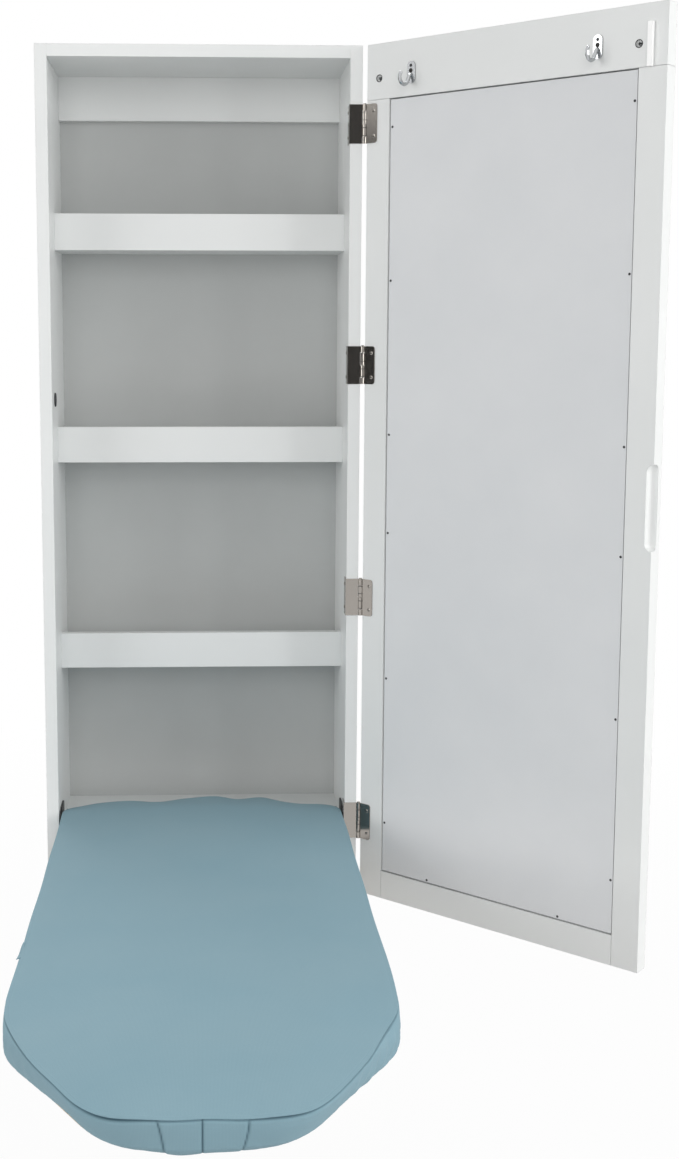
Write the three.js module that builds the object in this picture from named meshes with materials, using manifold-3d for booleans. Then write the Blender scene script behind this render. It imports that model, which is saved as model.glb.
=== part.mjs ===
// Mirrored wall cabinet with a fold-down ironing board.
// Millimetres, +Z up, +Y into the wall, the open front faces -Y.
// The part's origin is the middle of the cabinet's back, on the wall plane.
import * as THREE from 'three';
import { mergeVertices } from 'three/addons/utils/BufferGeometryUtils.js';
import Module from 'manifold-3d';

const wasm = await Module();
wasm.setup();

// ---------------------------------------------------------------- driving dimensions

// Carcass
const CABINET_WIDTH = 400;
const CABINET_HEIGHT = 1072;
const CABINET_DEPTH = 175;
const CARCASS_THICKNESS = 15;
const BACK_THICKNESS = 5;
const BACK_RABBET = 7;
const HANGING_RAIL_HEIGHT = 56;
const HANGING_RAIL_THICKNESS = 15;

// Shelves
const SHELF_COUNT = 3;
const SHELF_THICKNESS = 12;
const FIRST_LIP_DROP = 197;
const LAST_LIP_TOP = 332;
const LIP_HEIGHT = 46;
const LIP_THICKNESS = 12;
const LIP_SETBACK = 70;
const LOW_SHELF_HEIGHT = 82;
const LOW_SHELF_THICKNESS = 15;
const LOW_SHELF_SETBACK = 102;

// Door
const DOOR_THICKNESS = 18;
const DOOR_GAP = 2.6;
const DOOR_OPEN_DEG = 136.4;
const TOP_RAIL_HEIGHT = 66;
const BOTTOM_RAIL_HEIGHT = 36;
const STILE_WIDTH = 33.5;
const FRAME_LIP_WIDTH = 9;
const FRAME_LIP_THICKNESS = 7;
const MIRROR_THICKNESS = 4;
const MIRROR_EDGE_CLEARANCE = 1;
const BACKING_THICKNESS = 5;
const BACKING_EDGE_CLEARANCE = 1.6;
const FINGER_PULL_LENGTH = 96;
const FINGER_PULL_REACH = 8.6;
const FINGER_PULL_CUT = 10.8;
const FINGER_PULL_COVE = 6;
const FINGER_PULL_BELOW_MIDDLE = 3;

// Fittings on the door's inner face
const GUIDE_BLOCK_WIDTH = 5.6;
const GUIDE_BLOCK_PROUD = 5;
const GUIDE_BLOCK_LENGTH = 46.5;
const GUIDE_BLOCK_DROP = 20;
const GUIDE_BLOCK_WALL_CLEARANCE = 1;
const HOOK_INSET_HINGE_SIDE = 66.5;
const HOOK_INSET_FREE_SIDE = 83;
const HOOK_DROP = 39;
const HOOK_PLATE_WIDTH = 11;
const HOOK_PLATE_LENGTH = 26;
const HOOK_PLATE_THICKNESS = 1.8;
const HOOK_REACH = 26;
const HOOK_BOWL_RADIUS = 8.2;
const HOOK_BOWL_DROP = 7.7;
const HOOK_TIP_DEG = 400;
const HOOK_ROD_RADIUS = 2.2;
const SCREW_INSET_HINGE_SIDE = 18;
const SCREW_INSET_FREE_SIDE = 34;
const SCREW_DROP = 41;
const SCREW_HEAD_RADIUS = 3.8;
const SCREW_HEAD_HEIGHT = 2;
const SCREW_SHANK_RADIUS = 1.8;
const SCREW_LENGTH = 14;

// Butt hinges that wrap round the carcass edge
const HINGE_COUNT = 4;
const FIRST_HINGE_DROP = 93.5;
const LAST_HINGE_RISE = 96.5;
const HINGE_LENGTH = 47;
const HINGE_END_KNUCKLE = 8;
const HINGE_LEAF_THICKNESS = 1.1;
const HINGE_DOOR_LEAF_WIDTH = 15.5;
const HINGE_WRAP_DEPTH = 20;
const KNUCKLE_RADIUS = 2.8;
const HINGE_PIN_RADIUS = 1.3;
const HINGE_PIN_HEAD_RADIUS = 2;
const HINGE_PIN_HEAD_HEIGHT = 1.2;
const LEAF_CORNER_RADIUS = 3.5;

// Ironing board
const BOARD_SIDE_CLEARANCE = 4;
const BOARD_TOP = 110;
const BOARD_BAND = 35;
const BOARD_TAIL = 8;
const BOARD_TAIL_BULGE = 57;
const BOARD_HEADROOM = 130;
const BOARD_FLARE = 2;
const BOARD_FLARE_LENGTH = 390;
const NOSE_SHOULDER_SETBACK = 172;
const NOSE_SHOULDER_ROUND = 36;
const NOSE_FRONT_HALF_WIDTH = 92;
const NOSE_CORNER_ROUND = 43;
const BOARD_CROWN = 4;
const COVER_CLOTH = 2.6;
const COVER_HEM_WIDTH = 14;
const COVER_SIDE_DRAW = 3;
const NOSE_TUCK = 8;
const NOSE_TUCK_RAMP = 90;
const NOSE_CORNER_TUCK = 10;
const NOSE_CORNER_TUCK_SPREAD = 42;
const FOAM_THICKNESS = 14;
const CORE_THICKNESS = 14;

// Board pivot
const PIVOT_SETBACK = 40;
const PIVOT_HEIGHT = 93;
const PIVOT_PIN_RADIUS = 4;
const PIVOT_SHOULDER_RADIUS = 6;
const PIVOT_BRACKET_THICKNESS = 2;
const PIVOT_BRACKET_LENGTH = 38;
const PIVOT_BRACKET_HEIGHT = 34;
const ARM_THICKNESS = 2.5;
const ARM_HEIGHT = 13;
const ARM_LENGTH = 100;
const ARM_EYE_RADIUS = 9.5;

// Folding support leg under the board
const LEG_HALF_SPREAD = 110;
const LEG_TUBE_RADIUS = 7;
const LEG_BEND_RADIUS = 32;
const LEG_LENGTH = 216;
const LEG_FOOT_SETBACK = 18;
const LEG_HINGE_DROP = 27;
const LEG_END_MARGIN = 10;
const LEG_PIN_RADIUS = 2.5;
const LEG_PIN_HEAD_RADIUS = 4.5;
const LEG_PIN_HEAD_HEIGHT = 1.6;
const LEG_BRACKET_LENGTH = 44;
const LEG_BRACKET_SHEET = 1.6;
const LEG_BRACKET_SIDE_PLAY = 0.5;
const LEG_BRACKET_EAR_RADIUS = 8.5;
const FOOT_SLEEVE_WALL = 2;
const FOOT_SLEEVE_LENGTH = 120;
const STOP_CLEAT_WIDTH = 300;
const STOP_CLEAT_DEPTH = 16;
const STOP_CLEAT_HEIGHT = 18;

// Rubber buffer that grips the folded board's edge
const BUFFER_SETBACK = 37;
const BUFFER_HEIGHT = 640;
const BUFFER_RADIUS = 8.8;
const BUFFER_PROUD = 1.5;
const BUFFER_STEM_RADIUS = 4;
const BUFFER_STEM_LENGTH = 9;

// Fits
const SEAT_GAP = 0.3;
const PIN_CLEARANCE = 0.15;
const CLOTH_GAP = 0.4;
const LEAF_GAP = 0.4;

// ---------------------------------------------------------------- derived places

const HALF_WIDTH = CABINET_WIDTH / 2;
const INNER_HALF_WIDTH = HALF_WIDTH - CARCASS_THICKNESS;
const BACK_FRONT = CABINET_DEPTH - BACK_THICKNESS;
const SHELF_PITCH = (CABINET_HEIGHT - FIRST_LIP_DROP - LAST_LIP_TOP) / (SHELF_COUNT - 1);
const HINGE_PITCH = (CABINET_HEIGHT - FIRST_HINGE_DROP - LAST_HINGE_RISE) / (HINGE_COUNT - 1);
const HOOK_INSETS = {
  hook_right: HOOK_INSET_HINGE_SIDE,
  hook_left: CABINET_WIDTH - HOOK_INSET_FREE_SIDE,
};
const SCREW_INSETS = {
  frame_screw_right: SCREW_INSET_HINGE_SIDE,
  frame_screw_left: CABINET_WIDTH - SCREW_INSET_FREE_SIDE,
};
const HINGE_X = HALF_WIDTH + KNUCKLE_RADIUS;
const HINGE_Y = -DOOR_GAP / 2;
const DOOR_OPEN = THREE.MathUtils.degToRad(DOOR_OPEN_DEG);

const LEG_HINGE_HEIGHT = PIVOT_HEIGHT - LEG_HINGE_DROP;
const LEG_FOOT_HEIGHT = CARCASS_THICKNESS + LEG_TUBE_RADIUS + FOOT_SLEEVE_WALL + SEAT_GAP;
const LEG_SLOPE = Math.asin((LEG_HINGE_HEIGHT - LEG_FOOT_HEIGHT) / LEG_LENGTH);
const LEG_HINGE_Y = LEG_FOOT_SETBACK - LEG_LENGTH * Math.cos(LEG_SLOPE);

const BOARD_HALF_WIDTH = INNER_HALF_WIDTH - BOARD_SIDE_CLEARANCE;
const BOARD_NOSE = CABINET_HEIGHT - BOARD_HEADROOM - PIVOT_HEIGHT - PIVOT_SETBACK;
const NOSE_SHOULDER_Y = NOSE_SHOULDER_SETBACK - BOARD_NOSE;
const COVER_BOTTOM = BOARD_TOP - BOARD_BAND;
const CORE_BOTTOM = COVER_BOTTOM + COVER_CLOTH + CLOTH_GAP;
const CORE_TOP = CORE_BOTTOM + CORE_THICKNESS;
const FOAM_BOTTOM = CORE_TOP + CLOTH_GAP;
const FOAM_TOP = FOAM_BOTTOM + FOAM_THICKNESS;
const ARM_OUTER_X = BOARD_HALF_WIDTH - COVER_CLOTH - CLOTH_GAP;
const CORE_INSET = COVER_CLOTH + CLOTH_GAP + ARM_THICKNESS;

// ---------------------------------------------------------------- finishes

const FINISHES = {
  lacquer: { color: 0xeef0f1, roughness: 0.42, metalness: 0 },
  backPanel: { color: 0xd9dcdd, roughness: 0.6, metalness: 0 },
  whitePlastic: { color: 0xf7f7f5, roughness: 0.35, metalness: 0 },
  nickel: { color: 0xb9b4ab, roughness: 0.24, metalness: 1 },
  chrome: { color: 0xd8dadc, roughness: 0.08, metalness: 1 },
  zinc: { color: 0xa9acae, roughness: 0.38, metalness: 1 },
  blackSteel: { color: 0x24272a, roughness: 0.5, metalness: 0.4 },
  silverPaint: { color: 0xb4b8bb, roughness: 0.45, metalness: 0.5 },
  mirror: { color: 0xf2f5f6, roughness: 0.02, metalness: 1 },
  plywood: { color: 0xc9a877, roughness: 0.7, metalness: 0 },
  foam: { color: 0xe8e4d6, roughness: 0.95, metalness: 0 },
  cotton: { color: 0x7b9ca6, roughness: 0.85, metalness: 0 },
  rubber: { color: 0x33363a, roughness: 0.75, metalness: 0 },
};

const part = new THREE.Group();
const cabinet = new THREE.Group();
cabinet.position.set(0, -CABINET_DEPTH, -CABINET_HEIGHT / 2);
part.add(cabinet);

function place(parent, name, geometry, finish) {
  const mesh = new THREE.Mesh(geometry, new THREE.MeshStandardMaterial(FINISHES[finish]));
  mesh.name = name;
  parent.add(mesh);
  return mesh;
}

// ---------------------------------------------------------------- shape helpers

function box(low, high) {
  const size = high.map((value, axis) => value - low[axis]);
  const middle = high.map((value, axis) => (value + low[axis]) / 2);
  return new THREE.BoxGeometry(...size).translate(...middle);
}

function outline(points) {
  return new THREE.Shape(points.map(([x, y]) => new THREE.Vector2(x, y)));
}

// A profile drawn in X and Y, drawn out along Z.
function upright(shape, bottom, top) {
  const options = { depth: top - bottom, bevelEnabled: false, curveSegments: 8 };
  return new THREE.ExtrudeGeometry(shape, options).translate(0, 0, bottom);
}

// A profile drawn in Y and Z, drawn out along X.
function crosswise(shape, left, right) {
  const options = { depth: right - left, bevelEnabled: false, curveSegments: 10 };
  const turn = new THREE.Matrix4().makeBasis(
    new THREE.Vector3(0, 1, 0),
    new THREE.Vector3(0, 0, 1),
    new THREE.Vector3(1, 0, 0),
  );
  return new THREE.ExtrudeGeometry(shape, options).applyMatrix4(turn).translate(left, 0, 0);
}

// A turned piece whose profile lists [radius, distance] from one end of its axis to the other.
function turned(profile, segments, direction, start) {
  const points = profile.map(([radius, along]) => new THREE.Vector2(radius, along));
  const geometry = new THREE.LatheGeometry(points, segments);
  const up = new THREE.Vector3(0, 1, 0);
  geometry.applyQuaternion(new THREE.Quaternion().setFromUnitVectors(up, direction));
  return geometry.translate(...start);
}

function rod(radius, length, segments, direction, start) {
  return turned([[0, 0], [radius, 0], [radius, length], [0, length]], segments, direction, start);
}

const AXIS_X = new THREE.Vector3(1, 0, 0);
const AXIS_Y = new THREE.Vector3(0, 1, 0);
const AXIS_Z = new THREE.Vector3(0, 0, 1);

function toSolid(geometry) {
  const bare = geometry.clone();
  bare.deleteAttribute('normal');
  bare.deleteAttribute('uv');
  const merged = mergeVertices(bare, 1e-4);
  const vertProperties = new Float32Array(merged.attributes.position.array);
  const triVerts = new Uint32Array(merged.index.array);
  return new wasm.Manifold(new wasm.Mesh({ numProp: 3, vertProperties, triVerts }));
}

function toGeometry(solid) {
  const mesh = solid.getMesh();
  const geometry = new THREE.BufferGeometry();
  geometry.setAttribute('position', new THREE.BufferAttribute(mesh.vertProperties, 3));
  geometry.setIndex(new THREE.BufferAttribute(mesh.triVerts, 1));
  geometry.computeVertexNormals();
  return geometry;
}

const joined = (...pieces) => toGeometry(pieces.map(toSolid).reduce((all, one) => all.add(one)));
const cut = (piece, ...tools) => toGeometry(
  tools.map(toSolid).reduce((left, tool) => left.subtract(tool), toSolid(piece)),
);

// A rectangle with rounded corners, centred on the origin.
function roundedRectangle(width, height, radius) {
  const shape = new THREE.Shape();
  const [x, y] = [width / 2 - radius, height / 2 - radius];
  shape.absarc(x, y, radius, 0, Math.PI / 2);
  shape.absarc(-x, y, radius, Math.PI / 2, Math.PI);
  shape.absarc(-x, -y, radius, Math.PI, 1.5 * Math.PI);
  shape.absarc(x, -y, radius, 1.5 * Math.PI, 2 * Math.PI);
  return shape;
}

// ---------------------------------------------------------------- carcass

function buildCarcass() {
  const sideProfile = (sign) => outline([
    [sign * INNER_HALF_WIDTH, 0],
    [sign * HALF_WIDTH, 0],
    [sign * HALF_WIDTH, CABINET_DEPTH],
    [sign * (INNER_HALF_WIDTH + BACK_RABBET), CABINET_DEPTH],
    [sign * (INNER_HALF_WIDTH + BACK_RABBET), BACK_FRONT],
    [sign * INNER_HALF_WIDTH, BACK_FRONT],
  ]);
  const bufferHole = rod(
    BUFFER_STEM_RADIUS + SEAT_GAP,
    BUFFER_STEM_LENGTH + 1 + SEAT_GAP,
    24,
    AXIS_X,
    [-INNER_HALF_WIDTH - BUFFER_STEM_LENGTH - SEAT_GAP, BUFFER_SETBACK, BUFFER_HEIGHT],
  );
  const leftSide = upright(sideProfile(-1), 0, CABINET_HEIGHT);
  place(cabinet, 'side_panel_left', cut(leftSide, bufferHole), 'lacquer');
  place(cabinet, 'side_panel_right', upright(sideProfile(1), 0, CABINET_HEIGHT), 'lacquer');

  // The top and bottom panels sit between the sides and are rabbeted for the back.
  const levelProfile = (outer, inner) => {
    const step = inner + Math.sign(outer - inner) * BACK_RABBET;
    return outline([
      [0, inner], [BACK_FRONT, inner], [BACK_FRONT, step],
      [CABINET_DEPTH, step], [CABINET_DEPTH, outer], [0, outer],
    ]);
  };
  const topInner = CABINET_HEIGHT - CARCASS_THICKNESS;
  const top = crosswise(levelProfile(CABINET_HEIGHT, topInner), -INNER_HALF_WIDTH, INNER_HALF_WIDTH);
  const bottom = crosswise(levelProfile(0, CARCASS_THICKNESS), -INNER_HALF_WIDTH, INNER_HALF_WIDTH);
  place(cabinet, 'top_panel', top, 'lacquer');
  place(cabinet, 'bottom_panel', bottom, 'lacquer');

  const backHalf = INNER_HALF_WIDTH + BACK_RABBET;
  const backEdge = CARCASS_THICKNESS - BACK_RABBET;
  place(cabinet, 'back_panel', box(
    [-backHalf, BACK_FRONT, backEdge],
    [backHalf, CABINET_DEPTH, CABINET_HEIGHT - backEdge],
  ), 'backPanel');
  place(cabinet, 'hanging_rail', box(
    [-INNER_HALF_WIDTH, BACK_FRONT - HANGING_RAIL_THICKNESS, topInner - HANGING_RAIL_HEIGHT],
    [INNER_HALF_WIDTH, BACK_FRONT, topInner],
  ), 'lacquer');
}

function buildShelves() {
  for (let i = 0; i < SHELF_COUNT; i += 1) {
    const lipTop = CABINET_HEIGHT - FIRST_LIP_DROP - i * SHELF_PITCH;
    const lipBottom = lipTop - LIP_HEIGHT;
    const lipBack = LIP_SETBACK + LIP_THICKNESS;
    place(cabinet, `shelf_lip_${i + 1}`, box(
      [-INNER_HALF_WIDTH, LIP_SETBACK, lipBottom],
      [INNER_HALF_WIDTH, lipBack, lipTop],
    ), 'lacquer');
    place(cabinet, `shelf_board_${i + 1}`, box(
      [-INNER_HALF_WIDTH, lipBack, lipBottom],
      [INNER_HALF_WIDTH, BACK_FRONT, lipBottom + SHELF_THICKNESS],
    ), 'lacquer');
  }
  place(cabinet, 'low_shelf', box(
    [-INNER_HALF_WIDTH, LOW_SHELF_SETBACK, LOW_SHELF_HEIGHT - LOW_SHELF_THICKNESS],
    [INNER_HALF_WIDTH, BACK_FRONT, LOW_SHELF_HEIGHT],
  ), 'lacquer');
}

function buildBoardBuffer() {
  const face = -INNER_HALF_WIDTH;
  const profile = [
    [0, -BUFFER_STEM_LENGTH], [BUFFER_STEM_RADIUS, -BUFFER_STEM_LENGTH],
    [BUFFER_STEM_RADIUS, 0], [BUFFER_RADIUS, 0], [BUFFER_RADIUS, BUFFER_PROUD * 0.6],
    [BUFFER_RADIUS - BUFFER_PROUD * 0.4, BUFFER_PROUD], [0, BUFFER_PROUD],
  ];
  const seat = [face + SEAT_GAP, BUFFER_SETBACK, BUFFER_HEIGHT];
  place(cabinet, 'board_buffer', turned(profile, 24, AXIS_X, seat), 'rubber');
}

// ---------------------------------------------------------------- door

// The door is drawn closed, its hinge axis on the group's origin: X runs from the hinge edge
// towards the free edge as negative X, the inner face looks towards +Y.
const door = new THREE.Group();
door.position.set(HINGE_X, HINGE_Y, 0);
door.rotation.z = DOOR_OPEN;
cabinet.add(door);

const DOOR_INNER_Y = HINGE_Y;
const DOOR_OUTER_Y = DOOR_INNER_Y - DOOR_THICKNESS;
const alongDoor = (distance) => -KNUCKLE_RADIUS - distance;

function doorBox(from, to, outerY, innerY, bottom, top) {
  return box([alongDoor(to), outerY, bottom], [alongDoor(from), innerY, top]);
}

function buildDoorFrame() {
  const lipInner = DOOR_OUTER_Y + FRAME_LIP_THICKNESS;
  const railBottom = CABINET_HEIGHT - TOP_RAIL_HEIGHT;
  const stileTop = railBottom - SEAT_GAP;
  const lipTop = railBottom - FRAME_LIP_WIDTH;
  const lipBottom = BOTTOM_RAIL_HEIGHT + FRAME_LIP_WIDTH;

  // Each frame piece is a full-thickness bar with a thin lip that holds the mirror's edge.
  const stile = (outerEdge, sign) => {
    const inner = outerEdge + sign * STILE_WIDTH;
    const lip = inner + sign * FRAME_LIP_WIDTH;
    const shape = outline([
      [alongDoor(outerEdge), DOOR_OUTER_Y], [alongDoor(lip), DOOR_OUTER_Y],
      [alongDoor(lip), lipInner], [alongDoor(inner), lipInner],
      [alongDoor(inner), DOOR_INNER_Y], [alongDoor(outerEdge), DOOR_INNER_Y],
    ]);
    const lipOnly = doorBox(
      Math.min(inner, lip), Math.max(inner, lip), DOOR_OUTER_Y - 1, lipInner + 1,
      lipTop - SEAT_GAP, stileTop + 1,
    );
    return cut(upright(shape, 0, stileTop), lipOnly);
  };
  place(door, 'door_stile_hinge', stile(0, 1), 'lacquer');
  place(door, 'door_stile_free', cut(stile(CABINET_WIDTH, -1), fingerPull()), 'lacquer');

  const railShape = (edge, inner, sign) => outline([
    [DOOR_OUTER_Y, edge], [DOOR_OUTER_Y, inner + sign * FRAME_LIP_WIDTH],
    [lipInner, inner + sign * FRAME_LIP_WIDTH], [lipInner, inner],
    [DOOR_INNER_Y, inner], [DOOR_INNER_Y, edge],
  ]);
  const screwHoles = Object.values(SCREW_INSETS).map((inset) => turned(
    [
      [0, 1], [SCREW_HEAD_RADIUS + SEAT_GAP, 1],
      [SCREW_HEAD_RADIUS + SEAT_GAP, -SCREW_HEAD_HEIGHT - SEAT_GAP],
      [SCREW_SHANK_RADIUS + SEAT_GAP, -SCREW_HEAD_HEIGHT - SEAT_GAP],
      [SCREW_SHANK_RADIUS + SEAT_GAP, -SCREW_LENGTH - SEAT_GAP], [0, -SCREW_LENGTH - SEAT_GAP],
    ].reverse(),
    20, AXIS_Y, [alongDoor(inset), DOOR_INNER_Y, CABINET_HEIGHT - SCREW_DROP],
  ));
  const topRail = crosswise(
    railShape(CABINET_HEIGHT, railBottom, -1), alongDoor(CABINET_WIDTH), alongDoor(0),
  );
  // The top rail runs over both stiles, so its lip stops short of them.
  const overStiles = [[-1, STILE_WIDTH], [CABINET_WIDTH - STILE_WIDTH, CABINET_WIDTH + 1]]
    .map(([from, to]) => doorBox(
      from, to, DOOR_OUTER_Y - 1, lipInner + 1, lipTop - 1, railBottom,
    ));
  place(door, 'door_top_rail', cut(topRail, ...overStiles, ...screwHoles), 'lacquer');

  const bottomRail = crosswise(
    railShape(0, BOTTOM_RAIL_HEIGHT, 1),
    alongDoor(CABINET_WIDTH - STILE_WIDTH - SEAT_GAP),
    alongDoor(STILE_WIDTH + SEAT_GAP),
  );
  const underStileLips = [
    [STILE_WIDTH - 1, STILE_WIDTH + FRAME_LIP_WIDTH + SEAT_GAP],
    [CABINET_WIDTH - STILE_WIDTH - FRAME_LIP_WIDTH - SEAT_GAP, CABINET_WIDTH - STILE_WIDTH + 1],
  ].map(([from, to]) => doorBox(
    from, to, DOOR_OUTER_Y - 1, lipInner + SEAT_GAP, -1, lipBottom + 1,
  ));
  place(door, 'door_bottom_rail', cut(bottomRail, ...underStileLips), 'lacquer');

  const mirrorOuter = lipInner + SEAT_GAP;
  const mirrorInner = mirrorOuter + MIRROR_THICKNESS;
  const pane = (clearance, outerY, innerY) => doorBox(
    STILE_WIDTH + clearance, CABINET_WIDTH - STILE_WIDTH - clearance, outerY, innerY,
    BOTTOM_RAIL_HEIGHT + clearance, railBottom - clearance,
  );
  place(door, 'mirror_glass', pane(MIRROR_EDGE_CLEARANCE, mirrorOuter, mirrorInner), 'mirror');
  const backingOuter = mirrorInner + SEAT_GAP;
  place(door, 'mirror_backing', pane(
    BACKING_EDGE_CLEARANCE, backingOuter, backingOuter + BACKING_THICKNESS,
  ), 'backPanel');
}

// A coved scoop with rounded ends, cut into the free edge from the inner face.
function fingerPull() {
  const half = FINGER_PULL_LENGTH / 2;
  const reach = FINGER_PULL_REACH;
  const beyondEdge = -3 * FINGER_PULL_COVE;
  const plan = new THREE.Shape();
  plan.moveTo(beyondEdge, -half);
  plan.lineTo(0, -half);
  plan.absarc(0, -half + reach, reach, 1.5 * Math.PI, 2 * Math.PI);
  plan.absarc(0, half - reach, reach, 0, Math.PI / 2);
  plan.lineTo(beyondEdge, half);
  const straight = FINGER_PULL_CUT - FINGER_PULL_COVE;
  const options = {
    depth: straight + 1,
    bevelEnabled: true,
    bevelThickness: FINGER_PULL_COVE,
    bevelSize: FINGER_PULL_COVE,
    bevelOffset: -FINGER_PULL_COVE,
    bevelSegments: 4,
    curveSegments: 8,
  };
  const scoop = new THREE.ExtrudeGeometry(plan, options);
  const turn = new THREE.Matrix4().makeBasis(AXIS_X, AXIS_Z, AXIS_Y.clone().negate());
  scoop.applyMatrix4(turn);
  const edge = alongDoor(CABINET_WIDTH);
  return scoop.translate(edge, DOOR_INNER_Y + 1, CABINET_HEIGHT / 2 - FINGER_PULL_BELOW_MIDDLE);
}

function buildDoorFittings() {
  const blockX = HALF_WIDTH - CARCASS_THICKNESS - GUIDE_BLOCK_WALL_CLEARANCE;
  const blockOuter = HALF_WIDTH + blockX;
  const blockTop = CABINET_HEIGHT - GUIDE_BLOCK_DROP;
  place(door, 'door_guide_block', doorBox(
    blockOuter - GUIDE_BLOCK_WIDTH, blockOuter,
    DOOR_INNER_Y + SEAT_GAP, DOOR_INNER_Y + SEAT_GAP + GUIDE_BLOCK_PROUD,
    blockTop - GUIDE_BLOCK_LENGTH, blockTop,
  ), 'whitePlastic');

  for (const [name, inset] of Object.entries(HOOK_INSETS)) {
    place(door, name, hook(alongDoor(inset)), 'chrome');
  }
  for (const [name, inset] of Object.entries(SCREW_INSETS)) {
    const profile = [
      [0, -SCREW_LENGTH], [SCREW_SHANK_RADIUS, -SCREW_LENGTH],
      [SCREW_SHANK_RADIUS, -SCREW_HEAD_HEIGHT], [SCREW_HEAD_RADIUS, -SCREW_HEAD_HEIGHT],
      [SCREW_HEAD_RADIUS, 0], [0, 0],
    ];
    const start = [alongDoor(inset), DOOR_INNER_Y, CABINET_HEIGHT - SCREW_DROP];
    place(door, name, turned(profile, 20, AXIS_Y, start), 'zinc');
  }
}

// A coat hook: an upright plate with round ends and a J-shaped rod with a rounded tip.
function hook(x) {
  const faceY = DOOR_INNER_Y + SEAT_GAP;
  const middle = CABINET_HEIGHT - HOOK_DROP;
  const plateShape = roundedRectangle(
    HOOK_PLATE_WIDTH, HOOK_PLATE_LENGTH, HOOK_PLATE_WIDTH / 2 - 0.01,
  );
  const plate = new THREE.ExtrudeGeometry(plateShape, {
    depth: HOOK_PLATE_THICKNESS, bevelEnabled: false, curveSegments: 6,
  });
  plate.applyMatrix4(new THREE.Matrix4().makeBasis(AXIS_X.clone().negate(), AXIS_Z, AXIS_Y));
  plate.translate(x, faceY, middle);

  const bowlY = faceY + HOOK_REACH - HOOK_ROD_RADIUS - HOOK_BOWL_RADIUS;
  const bowlZ = middle - HOOK_BOWL_DROP;
  const route = [
    new THREE.Vector3(x, faceY + HOOK_PLATE_THICKNESS * 0.6, middle - 2.2),
    new THREE.Vector3(x, faceY + HOOK_PLATE_THICKNESS + 2.4, middle - 3.6),
  ];
  for (let degrees = 200; degrees <= HOOK_TIP_DEG; degrees += 28) {
    const angle = THREE.MathUtils.degToRad(degrees);
    route.push(new THREE.Vector3(
      x,
      bowlY + HOOK_BOWL_RADIUS * Math.cos(angle),
      bowlZ + HOOK_BOWL_RADIUS * Math.sin(angle),
    ));
  }
  const curve = new THREE.CatmullRomCurve3(route);
  const section = new THREE.Shape().absarc(0, 0, HOOK_ROD_RADIUS, 0, 2 * Math.PI);
  const arm = new THREE.ExtrudeGeometry(section, {
    steps: 18, extrudePath: curve, curveSegments: 4,
  });
  const tip = new THREE.SphereGeometry(HOOK_ROD_RADIUS * 1.04, 12, 8);
  tip.translate(...curve.getPoint(1).toArray());
  return joined(plate, arm, tip);
}

// ---------------------------------------------------------------- hinges

// Knuckle lengths alternate between the two leaves: cabinet, door, cabinet, door.
function knuckleSpans(bottom) {
  const long = HINGE_LENGTH / 2 - HINGE_END_KNUCKLE;
  const lengths = [HINGE_END_KNUCKLE, long, long, HINGE_END_KNUCKLE];
  let start = bottom;
  return lengths.map((length, index) => {
    const span = { start, end: start + length, onDoor: index % 2 === 0 };
    start += length;
    return span;
  });
}

// One leaf: its plate, its own knuckles, a pin hole, and room for the other leaf's knuckles.
function hingeLeaf(plate, axisX, axisY, bottom, onDoor) {
  const spans = knuckleSpans(bottom);
  const barrel = (radius, start, end) => rod(radius, end - start, 20, AXIS_Z, [axisX, axisY, start]);
  let leaf = toSolid(plate);
  for (const { start, end, onDoor: owner } of spans) {
    if (owner === onDoor) {
      const low = start === bottom ? start : start + LEAF_GAP / 2;
      const high = end === bottom + HINGE_LENGTH ? end : end - LEAF_GAP / 2;
      leaf = leaf.add(toSolid(barrel(KNUCKLE_RADIUS, low, high)));
    } else {
      const room = KNUCKLE_RADIUS + LEAF_GAP;
      leaf = leaf.subtract(toSolid(barrel(room, start - LEAF_GAP / 2, end + LEAF_GAP / 2)));
    }
  }
  const hole = barrel(HINGE_PIN_RADIUS + PIN_CLEARANCE, bottom - 1, bottom + HINGE_LENGTH + 1);
  return toGeometry(leaf.subtract(toSolid(hole)));
}

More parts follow.
